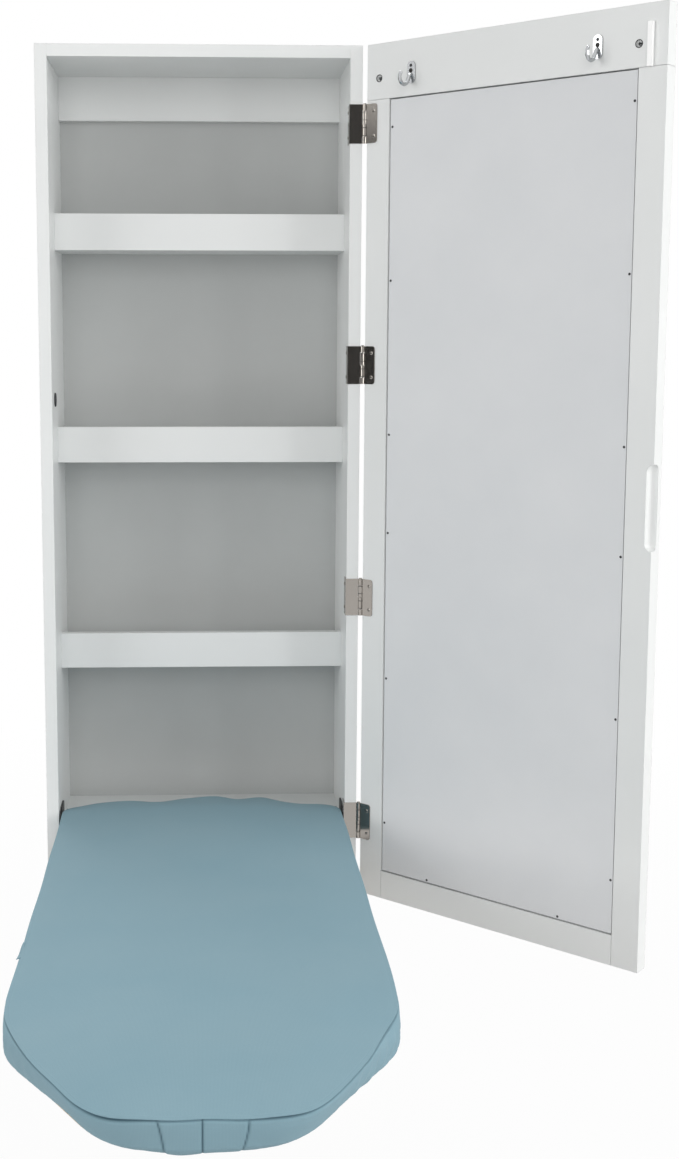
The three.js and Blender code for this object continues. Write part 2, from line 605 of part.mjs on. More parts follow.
function buildHinge(index) {
  const middle = CABINET_HEIGHT - FIRST_HINGE_DROP - index * HINGE_PITCH;
  const bottom = middle - HINGE_LENGTH / 2;
  const top = bottom + HINGE_LENGTH;
  const sheet = HINGE_LEAF_THICKNESS;

  const wrapX = INNER_HALF_WIDTH - sheet;
  const wrapped = upright(outline([
    [wrapX, -sheet], [HINGE_X, -sheet], [HINGE_X, 0],
    [INNER_HALF_WIDTH, 0], [INNER_HALF_WIDTH, HINGE_WRAP_DEPTH], [wrapX, HINGE_WRAP_DEPTH],
  ]), bottom, top);
  const cabinetLeaf = hingeLeaf(wrapped, HINGE_X, HINGE_Y, bottom, false);
  place(cabinet, `hinge_cabinet_leaf_${index + 1}`, cabinetLeaf, 'nickel');

  const pinProfile = [
    [0, -HINGE_PIN_HEAD_HEIGHT], [HINGE_PIN_HEAD_RADIUS, -HINGE_PIN_HEAD_HEIGHT],
    [HINGE_PIN_HEAD_RADIUS, -PIN_CLEARANCE], [HINGE_PIN_RADIUS, -PIN_CLEARANCE],
    [HINGE_PIN_RADIUS, HINGE_LENGTH], [0, HINGE_LENGTH],
  ];
  const pin = turned(pinProfile, 16, AXIS_Z.clone().negate(), [HINGE_X, HINGE_Y, top]);
  place(cabinet, `hinge_pin_${index + 1}`, pin, 'nickel');

  // The door leaf lies on the door's inner face, with its outer corners rounded.
  const leafShape = roundedRectangle(HINGE_DOOR_LEAF_WIDTH * 2, HINGE_LENGTH, LEAF_CORNER_RADIUS);
  const leafPlate = new THREE.ExtrudeGeometry(leafShape, {
    depth: sheet, bevelEnabled: false, curveSegments: 4,
  });
  leafPlate.applyMatrix4(new THREE.Matrix4().makeBasis(AXIS_X.clone().negate(), AXIS_Z, AXIS_Y));
  leafPlate.translate(alongDoor(0), DOOR_INNER_Y + SEAT_GAP / 2, middle);
  const pastAxis = box(
    [0, DOOR_INNER_Y - sheet, bottom - 1],
    [HINGE_DOOR_LEAF_WIDTH * 2, DOOR_INNER_Y + 3 * sheet, top + 1],
  );
  const doorLeaf = hingeLeaf(cut(leafPlate, pastAxis), 0, 0, bottom, true);
  place(door, `hinge_door_leaf_${index + 1}`, doorLeaf, 'nickel');
}

// ---------------------------------------------------------------- ironing board

// The board's outline: sides that flare a little, a half-ellipse tail, and a nose that narrows
// from two rounded shoulders to a short front edge. Every station has a centre on the board's
// spine, and an inset moves the point towards that centre.
const TAIL_STATIONS = 9;
const CORNER_STATIONS = 6;
const SIDE_STATIONS = 3;

function halfOutline() {
  const front = new THREE.Vector2(NOSE_FRONT_HALF_WIDTH, -BOARD_NOSE);
  const shoulder = new THREE.Vector2(BOARD_HALF_WIDTH + BOARD_FLARE, NOSE_SHOULDER_Y);
  const flareStart = new THREE.Vector2(BOARD_HALF_WIDTH, NOSE_SHOULDER_Y + BOARD_FLARE_LENGTH);
  const towards = (from, to, distance) => (
    to.clone().sub(from).setLength(distance).add(from).toArray()
  );
  const path = new THREE.Path();
  path.moveTo(0, -BOARD_NOSE);
  path.lineTo(front.x / 4, -BOARD_NOSE);
  path.lineTo(front.x - NOSE_CORNER_ROUND, -BOARD_NOSE);
  path.quadraticCurveTo(...front, ...towards(front, shoulder, NOSE_CORNER_ROUND));
  path.lineTo(...towards(shoulder, front, NOSE_SHOULDER_ROUND * 1.8));
  path.lineTo(...towards(shoulder, front, NOSE_SHOULDER_ROUND));
  path.quadraticCurveTo(...shoulder, ...towards(shoulder, flareStart, NOSE_SHOULDER_ROUND));
  path.lineTo(...flareStart);
  for (let i = 1; i <= SIDE_STATIONS; i += 1) {
    path.lineTo(BOARD_HALF_WIDTH, flareStart.y + (i / SIDE_STATIONS) * (BOARD_TAIL - flareStart.y));
  }
  const points = path.getPoints(CORNER_STATIONS);
  for (let i = 1; i <= TAIL_STATIONS; i += 1) {
    const angle = (i / TAIL_STATIONS) * (Math.PI / 2);
    const x = i === TAIL_STATIONS ? 0 : BOARD_HALF_WIDTH * Math.cos(angle);
    points.push(new THREE.Vector2(x, BOARD_TAIL + BOARD_TAIL_BULGE * Math.sin(angle)));
  }
  return points.map(({ x, y }) => (
    { x, y, centre: THREE.MathUtils.clamp(y, NOSE_SHOULDER_Y, BOARD_TAIL) }
  ));
}

function boardOutline() {
  const half = halfOutline();
  const mirrored = half.slice(1, -1).reverse().map(({ x, y, centre }) => ({ x: -x, y, centre }));
  return [...half, ...mirrored];
}

// Round the nose the elastic hem pulls the padded band inwards: the lower the more, and most
// where the outline turns the front corners.
function noseTuck({ x, y }, z) {
  const along = THREE.MathUtils.smoothstep(
    -y, -NOSE_SHOULDER_Y - NOSE_TUCK_RAMP / 2, -NOSE_SHOULDER_Y + NOSE_TUCK_RAMP / 2,
  );
  const offCorner = (Math.abs(x) - NOSE_FRONT_HALF_WIDTH) / NOSE_CORNER_TUCK_SPREAD;
  const depth = NOSE_TUCK + NOSE_CORNER_TUCK * Math.exp(-(offCorner ** 2));
  const down = Math.max(0, (BOARD_TOP - z) / BOARD_BAND);
  return depth * along * down * down;
}

function insetPoint({ x, y, centre }, inset) {
  const reach = Math.hypot(x, y - centre);
  const share = Math.max(0, 1 - inset / reach);
  return [x * share, centre + (y - centre) * share];
}

// A closed solid from rings round the outline. A ring is { inset, z }, or { share, z } for a
// ring part of the way out from the spine, on which the first and last rings close.
function ringSolid(rings) {
  const stations = boardOutline();
  const positions = [];
  for (const ring of rings) {
    for (const station of stations) {
      const reach = Math.hypot(station.x, station.y - station.centre);
      const onEdge = ring.share === undefined;
      const inset = onEdge ? ring.inset + noseTuck(station, ring.z) : reach * (1 - ring.share);
      const [x, y] = insetPoint(station, inset);
      positions.push(x, y, ring.z);
    }
  }
  const count = stations.length;
  const faces = [];
  const vertex = (ring, station) => ring * count + (station % count);
  const sameSpot = (a, b) => (
    Math.abs(positions[3 * a] - positions[3 * b]) < 1e-6
    && Math.abs(positions[3 * a + 1] - positions[3 * b + 1]) < 1e-6
    && Math.abs(positions[3 * a + 2] - positions[3 * b + 2]) < 1e-6
  );
  const addFace = (a, b, c) => {
    if (!sameSpot(a, b) && !sameSpot(b, c) && !sameSpot(c, a)) faces.push(a, b, c);
  };
  for (let ring = 0; ring + 1 < rings.length; ring += 1) {
    for (let i = 0; i < count; i += 1) {
      const [a, b] = [vertex(ring, i), vertex(ring, i + 1)];
      const [c, d] = [vertex(ring + 1, i), vertex(ring + 1, i + 1)];
      addFace(a, c, b);
      addFace(b, c, d);
    }
  }
  const geometry = new THREE.BufferGeometry();
  geometry.setAttribute('position', new THREE.Float32BufferAttribute(positions, 3));
  geometry.setIndex(faces);
  return geometry;
}

// A flat slab between two heights whose edge is inset from the board's outline.
function slab(inset, bottom, top) {
  return toGeometry(toSolid(ringSolid([
    { share: 0, z: top }, { inset, z: top }, { inset, z: bottom }, { share: 0, z: bottom },
  ])));
}

function padCover() {
  const innerTop = FOAM_TOP + CLOTH_GAP;
  const wall = COVER_CLOTH;
  const hemTop = COVER_BOTTOM + COVER_CLOTH;
  const waist = (BOARD_TOP + COVER_BOTTOM) / 2;
  const shell = ringSolid([
    { share: 0, z: BOARD_TOP + BOARD_CROWN },
    { share: 0.55, z: BOARD_TOP + 0.8 * BOARD_CROWN },
    { share: 0.86, z: BOARD_TOP + 0.3 * BOARD_CROWN },
    { inset: 6, z: BOARD_TOP - 0.4 },
    { inset: 1.2, z: BOARD_TOP - 1.8 },
    { inset: 1.9, z: BOARD_TOP - 3.4 },
    { inset: 0.5, z: BOARD_TOP - 5.4 },
    { inset: 0.35 * COVER_SIDE_DRAW, z: waist + 6 },
    { inset: 0.3 * COVER_SIDE_DRAW, z: waist - 7 },
    { inset: 0, z: COVER_BOTTOM + 6 },
    { inset: 1.4, z: COVER_BOTTOM + 1.4 },
    { inset: 4, z: COVER_BOTTOM },
    { inset: COVER_HEM_WIDTH, z: COVER_BOTTOM },
    { inset: COVER_HEM_WIDTH, z: hemTop },
    { inset: wall, z: hemTop },
    { inset: wall, z: CORE_TOP },
    { inset: wall, z: innerTop - 1.5 },
    { inset: wall + 4, z: innerTop },
    { share: 0, z: innerTop },
  ]);
  // The pivot arms leave the cover through a slit at each tail corner.
  const slits = [-1, 1].map((sign) => {
    const inner = sign * (ARM_OUTER_X - ARM_THICKNESS - CLOTH_GAP);
    const outer = sign * (ARM_OUTER_X + CLOTH_GAP);
    return box(
      [Math.min(inner, outer), BOARD_TAIL - 14, COVER_BOTTOM - 1],
      [Math.max(inner, outer), BOARD_TAIL + BOARD_TAIL_BULGE, FOAM_BOTTOM + 10],
    );
  });
  return cut(shell, ...slits);
}

const board = new THREE.Group();
cabinet.add(board);

function buildBoard() {
  place(board, 'board_core', slab(CORE_INSET, CORE_BOTTOM, CORE_TOP), 'plywood');
  const foamInset = COVER_CLOTH + CLOTH_GAP + 3;
  const foam = ringSolid([
    { share: 0, z: FOAM_TOP },
    { inset: foamInset + 3, z: FOAM_TOP },
    { inset: foamInset, z: FOAM_TOP - 3 },
    { inset: foamInset, z: FOAM_BOTTOM },
    { share: 0, z: FOAM_BOTTOM },
  ]);
  place(board, 'foam_pad', toGeometry(toSolid(foam)), 'foam');
  place(board, 'board_cover', padCover(), 'cotton');

  for (const [side, sign] of [['left', -1], ['right', 1]]) {
    place(board, `pivot_arm_${side}`, pivotArm(sign), 'blackSteel');
    buildPivot(side, sign);
  }
}

// A steel strap along the core's edge that rises to an eye round the pivot pin.
function pivotArm(sign) {
  const front = BOARD_TAIL - ARM_LENGTH;
  const low = CORE_BOTTOM + (CORE_THICKNESS - ARM_HEIGHT) / 2;
  const high = low + ARM_HEIGHT;
  const shape = new THREE.Shape();
  shape.moveTo(front, low);
  shape.lineTo(BOARD_TAIL, low);
  shape.absarc(PIVOT_SETBACK, PIVOT_HEIGHT, ARM_EYE_RADIUS, -0.6 * Math.PI, 0.62 * Math.PI);
  shape.lineTo(BOARD_TAIL - 4, high);
  shape.lineTo(front, high);
  const hole = new THREE.Path();
  hole.absarc(PIVOT_SETBACK, PIVOT_HEIGHT, PIVOT_PIN_RADIUS + PIN_CLEARANCE, 0, 2 * Math.PI, true);
  shape.holes.push(hole);
  const inner = ARM_OUTER_X - ARM_THICKNESS;
  return sign > 0 ? crosswise(shape, inner, ARM_OUTER_X) : crosswise(shape, -ARM_OUTER_X, -inner);
}

// A bracket on the cabinet's side carries a shouldered pin that the arm's eye turns on.
function buildPivot(side, sign) {
  const plateInner = INNER_HALF_WIDTH - PIVOT_BRACKET_THICKNESS;
  const shape = roundedRectangle(PIVOT_BRACKET_LENGTH, PIVOT_BRACKET_HEIGHT, 5);
  const hole = new THREE.Path();
  hole.absarc(0, 0, PIVOT_PIN_RADIUS + PIN_CLEARANCE, 0, 2 * Math.PI, true);
  shape.holes.push(hole);
  const span = sign > 0 ? [plateInner, INNER_HALF_WIDTH] : [-INNER_HALF_WIDTH, -plateInner];
  const plate = crosswise(shape, ...span).translate(0, PIVOT_SETBACK, PIVOT_HEIGHT);
  place(cabinet, `pivot_bracket_${side}`, plate, 'blackSteel');

  const armInner = ARM_OUTER_X - ARM_THICKNESS;
  const shoulder = ARM_OUTER_X + SEAT_GAP;
  const tip = armInner - 1;
  const profile = [
    [0, 0], [PIVOT_PIN_RADIUS, 0],
    [PIVOT_PIN_RADIUS, shoulder - tip], [PIVOT_SHOULDER_RADIUS, shoulder - tip],
    [PIVOT_SHOULDER_RADIUS, plateInner - SEAT_GAP - tip], [PIVOT_PIN_RADIUS, plateInner - SEAT_GAP - tip],
    [PIVOT_PIN_RADIUS, INNER_HALF_WIDTH - SEAT_GAP - tip], [0, INNER_HALF_WIDTH - SEAT_GAP - tip],
  ];
  const direction = AXIS_X.clone().multiplyScalar(sign);
  const start = [sign * tip, PIVOT_SETBACK, PIVOT_HEIGHT];
  place(cabinet, `pivot_pin_${side}`, turned(profile, 24, direction, start), 'zinc');
}

// ---------------------------------------------------------------- support leg

// The leg is drawn level, its hinge axis on the group's origin and its foot towards +Y.
const leg = new THREE.Group();
leg.position.set(0, LEG_HINGE_Y, LEG_HINGE_HEIGHT);
leg.rotation.x = -LEG_SLOPE;
board.add(leg);

function legPath() {
  const [half, bend, length] = [LEG_HALF_SPREAD, LEG_BEND_RADIUS, LEG_LENGTH];
  const point = (x, y) => new THREE.Vector3(x, y, 0);
  const handle = bend * 0.5523;
  const path = new THREE.CurvePath();
  path.add(new THREE.LineCurve3(point(-half, -LEG_END_MARGIN), point(-half, length - bend)));
  path.add(new THREE.CubicBezierCurve3(
    point(-half, length - bend), point(-half, length - bend + handle),
    point(-half + bend - handle, length), point(-half + bend, length),
  ));
  path.add(new THREE.LineCurve3(point(-half + bend, length), point(half - bend, length)));
  path.add(new THREE.CubicBezierCurve3(
    point(half - bend, length), point(half - bend + handle, length),
    point(half, length - bend + handle), point(half, length - bend),
  ));
  path.add(new THREE.LineCurve3(point(half, length - bend), point(half, -LEG_END_MARGIN)));
  return path;
}

function buildLeg() {
  const section = new THREE.Shape().absarc(0, 0, LEG_TUBE_RADIUS, 0, 2 * Math.PI);
  const tube = new THREE.ExtrudeGeometry(section, {
    steps: 72, extrudePath: legPath(), curveSegments: 6,
  });
  const crossHoles = [-1, 1].map((sign) => rod(
    LEG_PIN_RADIUS + PIN_CLEARANCE, 4 * LEG_TUBE_RADIUS, 16, AXIS_X,
    [sign * LEG_HALF_SPREAD - 2 * LEG_TUBE_RADIUS, 0, 0],
  ));
  place(leg, 'support_leg', cut(tube, ...crossHoles), 'silverPaint');

  const sleeveInner = LEG_TUBE_RADIUS + SEAT_GAP;
  const sleeveOuter = LEG_TUBE_RADIUS + FOOT_SLEEVE_WALL;
  place(leg, 'foot_sleeve', turned([
    [sleeveInner, 0], [sleeveOuter, 0], [sleeveOuter, FOOT_SLEEVE_LENGTH],
    [sleeveInner, FOOT_SLEEVE_LENGTH], [sleeveInner, 0],
  ], 24, AXIS_X, [-FOOT_SLEEVE_LENGTH / 2, LEG_LENGTH, 0]), 'rubber');

  for (const [side, sign] of [['left', -1], ['right', 1]]) buildLegBracket(side, sign);

  const cleatFront = LEG_FOOT_SETBACK + sleeveOuter + SEAT_GAP;
  place(cabinet, 'leg_stop_cleat', box(
    [-STOP_CLEAT_WIDTH / 2, cleatFront, CARCASS_THICKNESS],
    [STOP_CLEAT_WIDTH / 2, cleatFront + STOP_CLEAT_DEPTH, CARCASS_THICKNESS + STOP_CLEAT_HEIGHT],
  ), 'lacquer');
}

// A channel under the core whose two ears carry the leg's hinge pin.
function buildLegBracket(side, sign) {
  const middle = sign * LEG_HALF_SPREAD;
  const earInner = LEG_TUBE_RADIUS + LEG_BRACKET_SIDE_PLAY;
  const earOuter = earInner + LEG_BRACKET_SHEET;
  const plateTop = CORE_BOTTOM;
  const plateBottom = plateTop - LEG_BRACKET_SHEET;
  const half = LEG_BRACKET_LENGTH / 2;
  const ear = new THREE.Shape();
  ear.moveTo(LEG_HINGE_Y - half, plateBottom + 0.2);
  ear.lineTo(LEG_HINGE_Y - LEG_BRACKET_EAR_RADIUS, LEG_HINGE_HEIGHT);
  ear.absarc(LEG_HINGE_Y, LEG_HINGE_HEIGHT, LEG_BRACKET_EAR_RADIUS, Math.PI, 2 * Math.PI);
  ear.lineTo(LEG_HINGE_Y + half, plateBottom + 0.2);
  const holeRadius = LEG_PIN_RADIUS + PIN_CLEARANCE;
  const hole = new THREE.Path().absarc(LEG_HINGE_Y, LEG_HINGE_HEIGHT, holeRadius, 0, 2 * Math.PI, true);
  ear.holes.push(hole);
  const plate = box(
    [middle - earOuter, LEG_HINGE_Y - half, plateBottom],
    [middle + earOuter, LEG_HINGE_Y + half, plateTop],
  );
  const bracket = joined(
    plate,
    crosswise(ear, middle - earOuter, middle - earInner),
    crosswise(ear, middle + earInner, middle + earOuter),
  );
  place(board, `leg_bracket_${side}`, bracket, 'zinc');

  const headStart = -earOuter - SEAT_GAP - LEG_PIN_HEAD_HEIGHT;
  const pinEnd = earOuter + 1.5;
  const profile = [
    [0, headStart], [LEG_PIN_HEAD_RADIUS, headStart],
    [LEG_PIN_HEAD_RADIUS, headStart + LEG_PIN_HEAD_HEIGHT],
    [LEG_PIN_RADIUS, headStart + LEG_PIN_HEAD_HEIGHT], [LEG_PIN_RADIUS, pinEnd], [0, pinEnd],
  ];
  const start = [middle, LEG_HINGE_Y, LEG_HINGE_HEIGHT];
  place(board, `leg_pin_${side}`, turned(profile, 16, AXIS_X, start), 'zinc');
}

// ---------------------------------------------------------------- assembly

buildCarcass();
buildShelves();
buildBoardBuffer();
buildDoorFrame();
buildDoorFittings();
for (let i = 0; i < HINGE_COUNT; i += 1) buildHinge(i);
buildBoard();
buildLeg();

export default part;
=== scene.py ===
"""Finishes, padded cover, small fixings and studio for the mirrored ironing board cabinet.

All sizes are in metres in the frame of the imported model: X runs to the right, Y runs into the wall
from the front and Z runs up. The wall is at Y = 0 and Z = 0 is half way up the cabinet.
"""

import logging
import math
from dataclasses import dataclass, field
from enum import Enum
from typing import Iterable, Sequence

import bmesh
import bpy
import numpy as np
from mathutils import Matrix, Vector
from mathutils.bvhtree import BVHTree
from mathutils.geometry import delaunay_2d_cdt


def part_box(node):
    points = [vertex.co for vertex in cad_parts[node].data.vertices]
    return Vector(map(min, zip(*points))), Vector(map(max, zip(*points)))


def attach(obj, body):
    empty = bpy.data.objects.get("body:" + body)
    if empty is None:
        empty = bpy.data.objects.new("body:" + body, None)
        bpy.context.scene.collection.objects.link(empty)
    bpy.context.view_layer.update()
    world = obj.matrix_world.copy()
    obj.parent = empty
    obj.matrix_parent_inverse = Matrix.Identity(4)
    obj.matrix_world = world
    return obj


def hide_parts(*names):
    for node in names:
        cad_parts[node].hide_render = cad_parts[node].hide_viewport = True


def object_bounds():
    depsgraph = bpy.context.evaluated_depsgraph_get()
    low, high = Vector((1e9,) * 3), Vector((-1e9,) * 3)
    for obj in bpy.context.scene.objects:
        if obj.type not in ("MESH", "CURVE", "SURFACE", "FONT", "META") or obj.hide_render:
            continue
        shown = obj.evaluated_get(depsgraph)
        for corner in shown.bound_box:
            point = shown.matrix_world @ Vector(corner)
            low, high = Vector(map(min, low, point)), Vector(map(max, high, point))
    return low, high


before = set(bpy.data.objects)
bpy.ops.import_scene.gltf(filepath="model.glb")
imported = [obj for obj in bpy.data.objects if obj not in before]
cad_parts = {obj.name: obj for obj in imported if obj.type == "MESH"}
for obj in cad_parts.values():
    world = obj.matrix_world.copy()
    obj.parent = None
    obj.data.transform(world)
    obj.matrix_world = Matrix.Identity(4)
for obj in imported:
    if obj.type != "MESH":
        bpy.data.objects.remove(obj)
CAD_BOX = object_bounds()

MM = 0.001
UP = Vector((0, 0, 1))

logging.basicConfig(level=logging.INFO, format="%(message)s")
log = logging.getLogger("cabinet")


class Side(Enum):
    """A side of the cabinet as the viewer sees it."""

    LEFT = -1
    RIGHT = 1

    @property
    def word(self) -> str:
        """The side's name as it stands in the names of pieces."""
        return self.name.lower()


# --- colours and nodes -------------------------------------------------------------------------


def linear(hex_colour: str) -> tuple[float, float, float, float]:
    """Turn an sRGB hex value into a linear colour.

    Args:
        hex_colour: Six hexadecimal digits, with or without a leading #.

    Returns:
        Linear red, green, blue and an alpha of 1.
    """
    digits = hex_colour.lstrip("#")
    channels = [int(digits[i:i + 2], 16) / 255 for i in (0, 2, 4)]
    bright = [c / 12.92 if c <= 0.04045 else ((c + 0.055) / 1.055) ** 2.4 for c in channels]
    return (*bright, 1.0)


def add_node(
    tree: bpy.types.NodeTree,
    kind: str,
    settings: dict | None = None,
    links: dict | None = None,
) -> bpy.types.Node:
    """Add a node with its settings and the links into it.

    Args:
        tree: The node tree that gets the node.
        kind: Blender's name for the node's type, without the ShaderNode in front.
        settings: Socket names or indices with their values, and attribute names with theirs.
        links: Socket names or indices with the output socket that feeds each.

    Returns:
        The new node.
    """
    node = tree.nodes.new("ShaderNode" + kind)
    for name, value in (settings or {}).items():
        if isinstance(name, int) or name in node.inputs:
            node.inputs[name].default_value = value
        else:
            setattr(node, name, value)
    for name, source in (links or {}).items():
        tree.links.new(source, node.inputs[name])
    return node


# --- finishes ----------------------------------------------------------------------------------


@dataclass(frozen=True)
class Finish:
    """A surface: what it is made of, and how it was finished.

    Attributes:
        name: The material's name.
        slot: The record's slot that the finish belongs to.
        colour: sRGB hex value of the surface.
        roughness: Roughness of the surface's gloss, from 0 to 1.
        metallic: 1 for bare or plated metal, 0 for the rest.
        edge: Radius in metres that the surface's edges are eased to.
        other: sRGB hex value that the colour drifts to, or nothing for an even colour.
        drift: Width in metres of the patches of the other colour.
        drift_detail: How finely these patches break up.
        grain: Width in metres of the fine relief, or 0 for none.
        grain_detail: How finely the relief breaks up.
        grain_depth: Depth of the relief in metres.
        grain_share: Share of the relief that shows.
        stretch: Factor on the relief's place along each axis.
        ior: Refractive index, where it isn't the shader's own.
    """

    name: str
    slot: str
    colour: str
    roughness: float
    metallic: float = 0.0
    edge: float = 0.0
    other: str = ""
    drift: float = 0.1
    drift_detail: float = 3.0
    grain: float = 0.0
    grain_detail: float = 2.0
    grain_depth: float = 0.05 * MM
    grain_share: float = 0.5
    stretch: tuple[float, float, float] = (1, 1, 1)
    ior: float | None = None

    def build(self) -> bpy.types.Material:
        """Make the material, with its detail.

        Returns:
            The new material.
        """
        material = bpy.data.materials.new(self.name)
        material.use_nodes = True
        tree = material.node_tree
        shader = tree.nodes["Principled BSDF"]
        shader.inputs["Base Color"].default_value = linear(self.colour)
        shader.inputs["Roughness"].default_value = self.roughness
        shader.inputs["Metallic"].default_value = self.metallic
        if self.ior:
            shader.inputs["IOR"].default_value = self.ior
        self.detail(tree, shader)
        material.diffuse_color = linear(self.colour)
        return material

    def detail(self, tree: bpy.types.NodeTree, shader: bpy.types.Node) -> None:
        """Add the drift in colour and the fine relief. A finish with more to it adds that here.

        Args:
            tree: The material's node tree.
            shader: The material's main shader node.
        """
        if self.other:
            patches = {"Scale": 1 / self.drift, "Detail": self.drift_detail}
            drift = add_node(tree, "TexNoise", patches, {"Vector": self.place(tree)})
            colours = {"data_type": "RGBA", 6: linear(self.colour), 7: linear(self.other)}
            mix = add_node(tree, "Mix", colours, {"Factor": drift.outputs["Fac"]})
            tree.links.new(mix.outputs[2], shader.inputs["Base Color"])
        if self.grain:
            self.relief(tree, shader, self.pattern(tree))

    def pattern(self, tree: bpy.types.NodeTree) -> bpy.types.NodeSocket:
        """Draw the fine relief.

        Args:
            tree: The material's node tree.

        Returns:
            The socket with its height, from 0 to 1.
        """
        fine = {"Scale": 1 / self.grain, "Detail": self.grain_detail}
        noise = add_node(tree, "TexNoise", fine, {"Vector": self.place(tree, self.stretch)})
        return noise.outputs["Fac"]

    def place(self, tree: bpy.types.NodeTree, scale: Sequence[float] = (1, 1, 1)) -> bpy.types.NodeSocket:
        """Give the place on the object, in metres, stretched along each axis.

        Args:
            tree: The material's node tree.
            scale: Factor for each axis.

        Returns:
            The socket that holds the place.
        """
        coordinates = add_node(tree, "TexCoord")
        mapping = add_node(tree, "Mapping", {"Scale": scale}, {"Vector": coordinates.outputs["Object"]})
        return mapping.outputs["Vector"]

    def relief(self, tree: bpy.types.NodeTree, shader: bpy.types.Node, height: bpy.types.NodeSocket) -> None:
        """Raise the surface by a height pattern, over eased edges where the finish has them.

        Args:
            tree: The material's node tree.
            shader: The material's main shader node.
            height: Socket with the pattern, from 0 to 1.
        """
        depth = {"Distance": self.grain_depth, "Strength": self.grain_share}
        bump = add_node(tree, "Bump", depth, {"Height": height})
        if self.edge:
            bevel = add_node(tree, "Bevel", {"samples": 6, "Radius": self.edge})
            tree.links.new(bevel.outputs["Normal"], bump.inputs["Normal"])
        tree.links.new(bump.outputs["Normal"], shader.inputs["Normal"])


@dataclass(frozen=True)
class SatinLacquer(Finish):
    """White satin lacquer sprayed on fibreboard: an even soft gloss over a faint orange peel."""

    other: str = "#DEE0DF"
    drift: float = 0.16
    grain: float = 2.6 * MM
    grain_depth: float = 0.03 * MM
    ior: float | None = 1.48


@dataclass(frozen=True)
class MattPaint(Finish):
    """Matt paint rolled on thin hardboard: chalky, uneven, with the fine stipple of the roller."""

    other: str = "#D6D8DA"
    drift: float = 0.09
    drift_detail: float = 5.0
    grain: float = 1.4 * MM
    grain_detail: float = 4.0
    grain_share: float = 0.6
    ior: float | None = 1.45


@dataclass(frozen=True)
class MouldedNylon(Finish):
    """Injection-moulded white nylon: bright and waxy, with the faint flow marks of the moulding."""

    grain: float = 9 * MM
    grain_depth: float = 0.04 * MM
    stretch: tuple[float, float, float] = (1, 1, 0.2)
    ior: float | None = 1.53


@dataclass(frozen=True)
class MouldedRubber(Finish):
    """Moulded black rubber: dull, with a greyish bloom and the fine grain of the mould."""

    other: str = "#3A3B3D"
    drift: float = 5 * MM
    grain: float = 0.8 * MM


@dataclass(frozen=True)
class PowderCoat(Finish):
    """Powder coat baked on steel: low gloss and a slight change of tone over a pebbled skin."""

    other: str = "#2A2B2D"
    drift: float = 12 * MM
    grain: float = 0.9 * MM
    grain_depth: float = 0.06 * MM
    grain_share: float = 0.4
    ior: float | None = 1.5

    def pattern(self, tree: bpy.types.NodeTree) -> bpy.types.NodeSocket:
        """Draw the pebbles."""
        pebble = add_node(tree, "TexVoronoi", {"Scale": 1 / self.grain}, {"Vector": self.place(tree)})
        return pebble.outputs["Distance"]


@dataclass(frozen=True)
class SilveredGlass(Finish):
    """Float glass silvered on its back: a clear reflection with a cool cast and faint wipe marks."""

    wipe_width: float = 70 * MM
    wiped: float = 0.07

    def detail(self, tree: bpy.types.NodeTree, shader: bpy.types.Node) -> None:
        """Add the faint wipe marks that dull the reflection here and there."""
        wipe = add_node(
            tree,
            "TexNoise",
            {"Scale": 1 / self.wipe_width, "Detail": 5.0, "Distortion": 0.6},
            {"Vector": self.place(tree, (1, 1, 0.45))},
        )
        wiped = {"From Min": 0.45, "From Max": 0.8, "To Min": self.roughness, "To Max": self.wiped}
        film = add_node(tree, "MapRange", wiped, {"Value": wipe.outputs["Fac"]})
        tree.links.new(film.outputs["Result"], shader.inputs["Roughness"])


@dataclass(frozen=True)
class PlatedMetal(Finish):
    """Bright plating on steel or zinc alloy, finely uneven, with polishing haze."""

    haze: float = 0.06
    haze_width: float = 6 * MM
    grain: float = 0.5 * MM
    grain_depth: float = 0.01 * MM
    grain_share: float = 0.4

    def detail(self, tree: bpy.types.NodeTree, shader: bpy.types.Node) -> None:
        """Add the haze in the gloss to the fine relief."""
        super().detail(tree, shader)
        cloudy = {"Scale": 1 / self.haze_width, "Detail": 4.0}
        noise = add_node(tree, "TexNoise", cloudy, {"Vector": self.place(tree)})
        dulled = {"To Min": self.roughness, "To Max": self.roughness + self.haze}
        gloss = add_node(tree, "MapRange", dulled, {"Value": noise.outputs["Fac"]})
        tree.links.new(gloss.outputs["Result"], shader.inputs["Roughness"])


@dataclass(frozen=True)
class BarePlywood(Finish):
    """Sanded plywood without a finish: long grain on the faces and plies on the edges."""

    ply: float = 2.8 * MM
    grain_width: float = 7 * MM
    grain_length: float = 0.16
    grain_depth: float = 0.15 * MM
    grain_share: float = 0.6
    other: str = "#B3966F"

    def detail(self, tree: bpy.types.NodeTree, shader: bpy.types.Node) -> None:
        """Add the grain along the board and the plies across its thickness."""
        stretched = self.place(tree, (1 / self.grain_width, 1 / self.grain_length, 1))
        uneven = {"Scale": 1.0, "Detail": 6.0, "Distortion": 0.7}
        grain = add_node(tree, "TexNoise", uneven, {"Vector": stretched})
        plies = add_node(
            tree,
            "TexWave",
            {"bands_direction": "Z", "Scale": 1 / (20 * self.ply) * math.tau, "Distortion": 0.3},
            {"Vector": self.place(tree)},
        )
        both = add_node(
            tree,
            "Math",
            {"operation": "MULTIPLY_ADD", 1: 0.65},
            {0: grain.outputs["Fac"], 2: plies.outputs["Fac"]},
        )
        colours = {"data_type": "RGBA", 6: linear(self.other), 7: linear(self.colour)}
        tone = add_node(tree, "Mix", colours, {"Factor": both.outputs["Value"]})
        tree.links.new(tone.outputs[2], shader.inputs["Base Color"])
        self.relief(tree, shader, grain.outputs["Fac"])


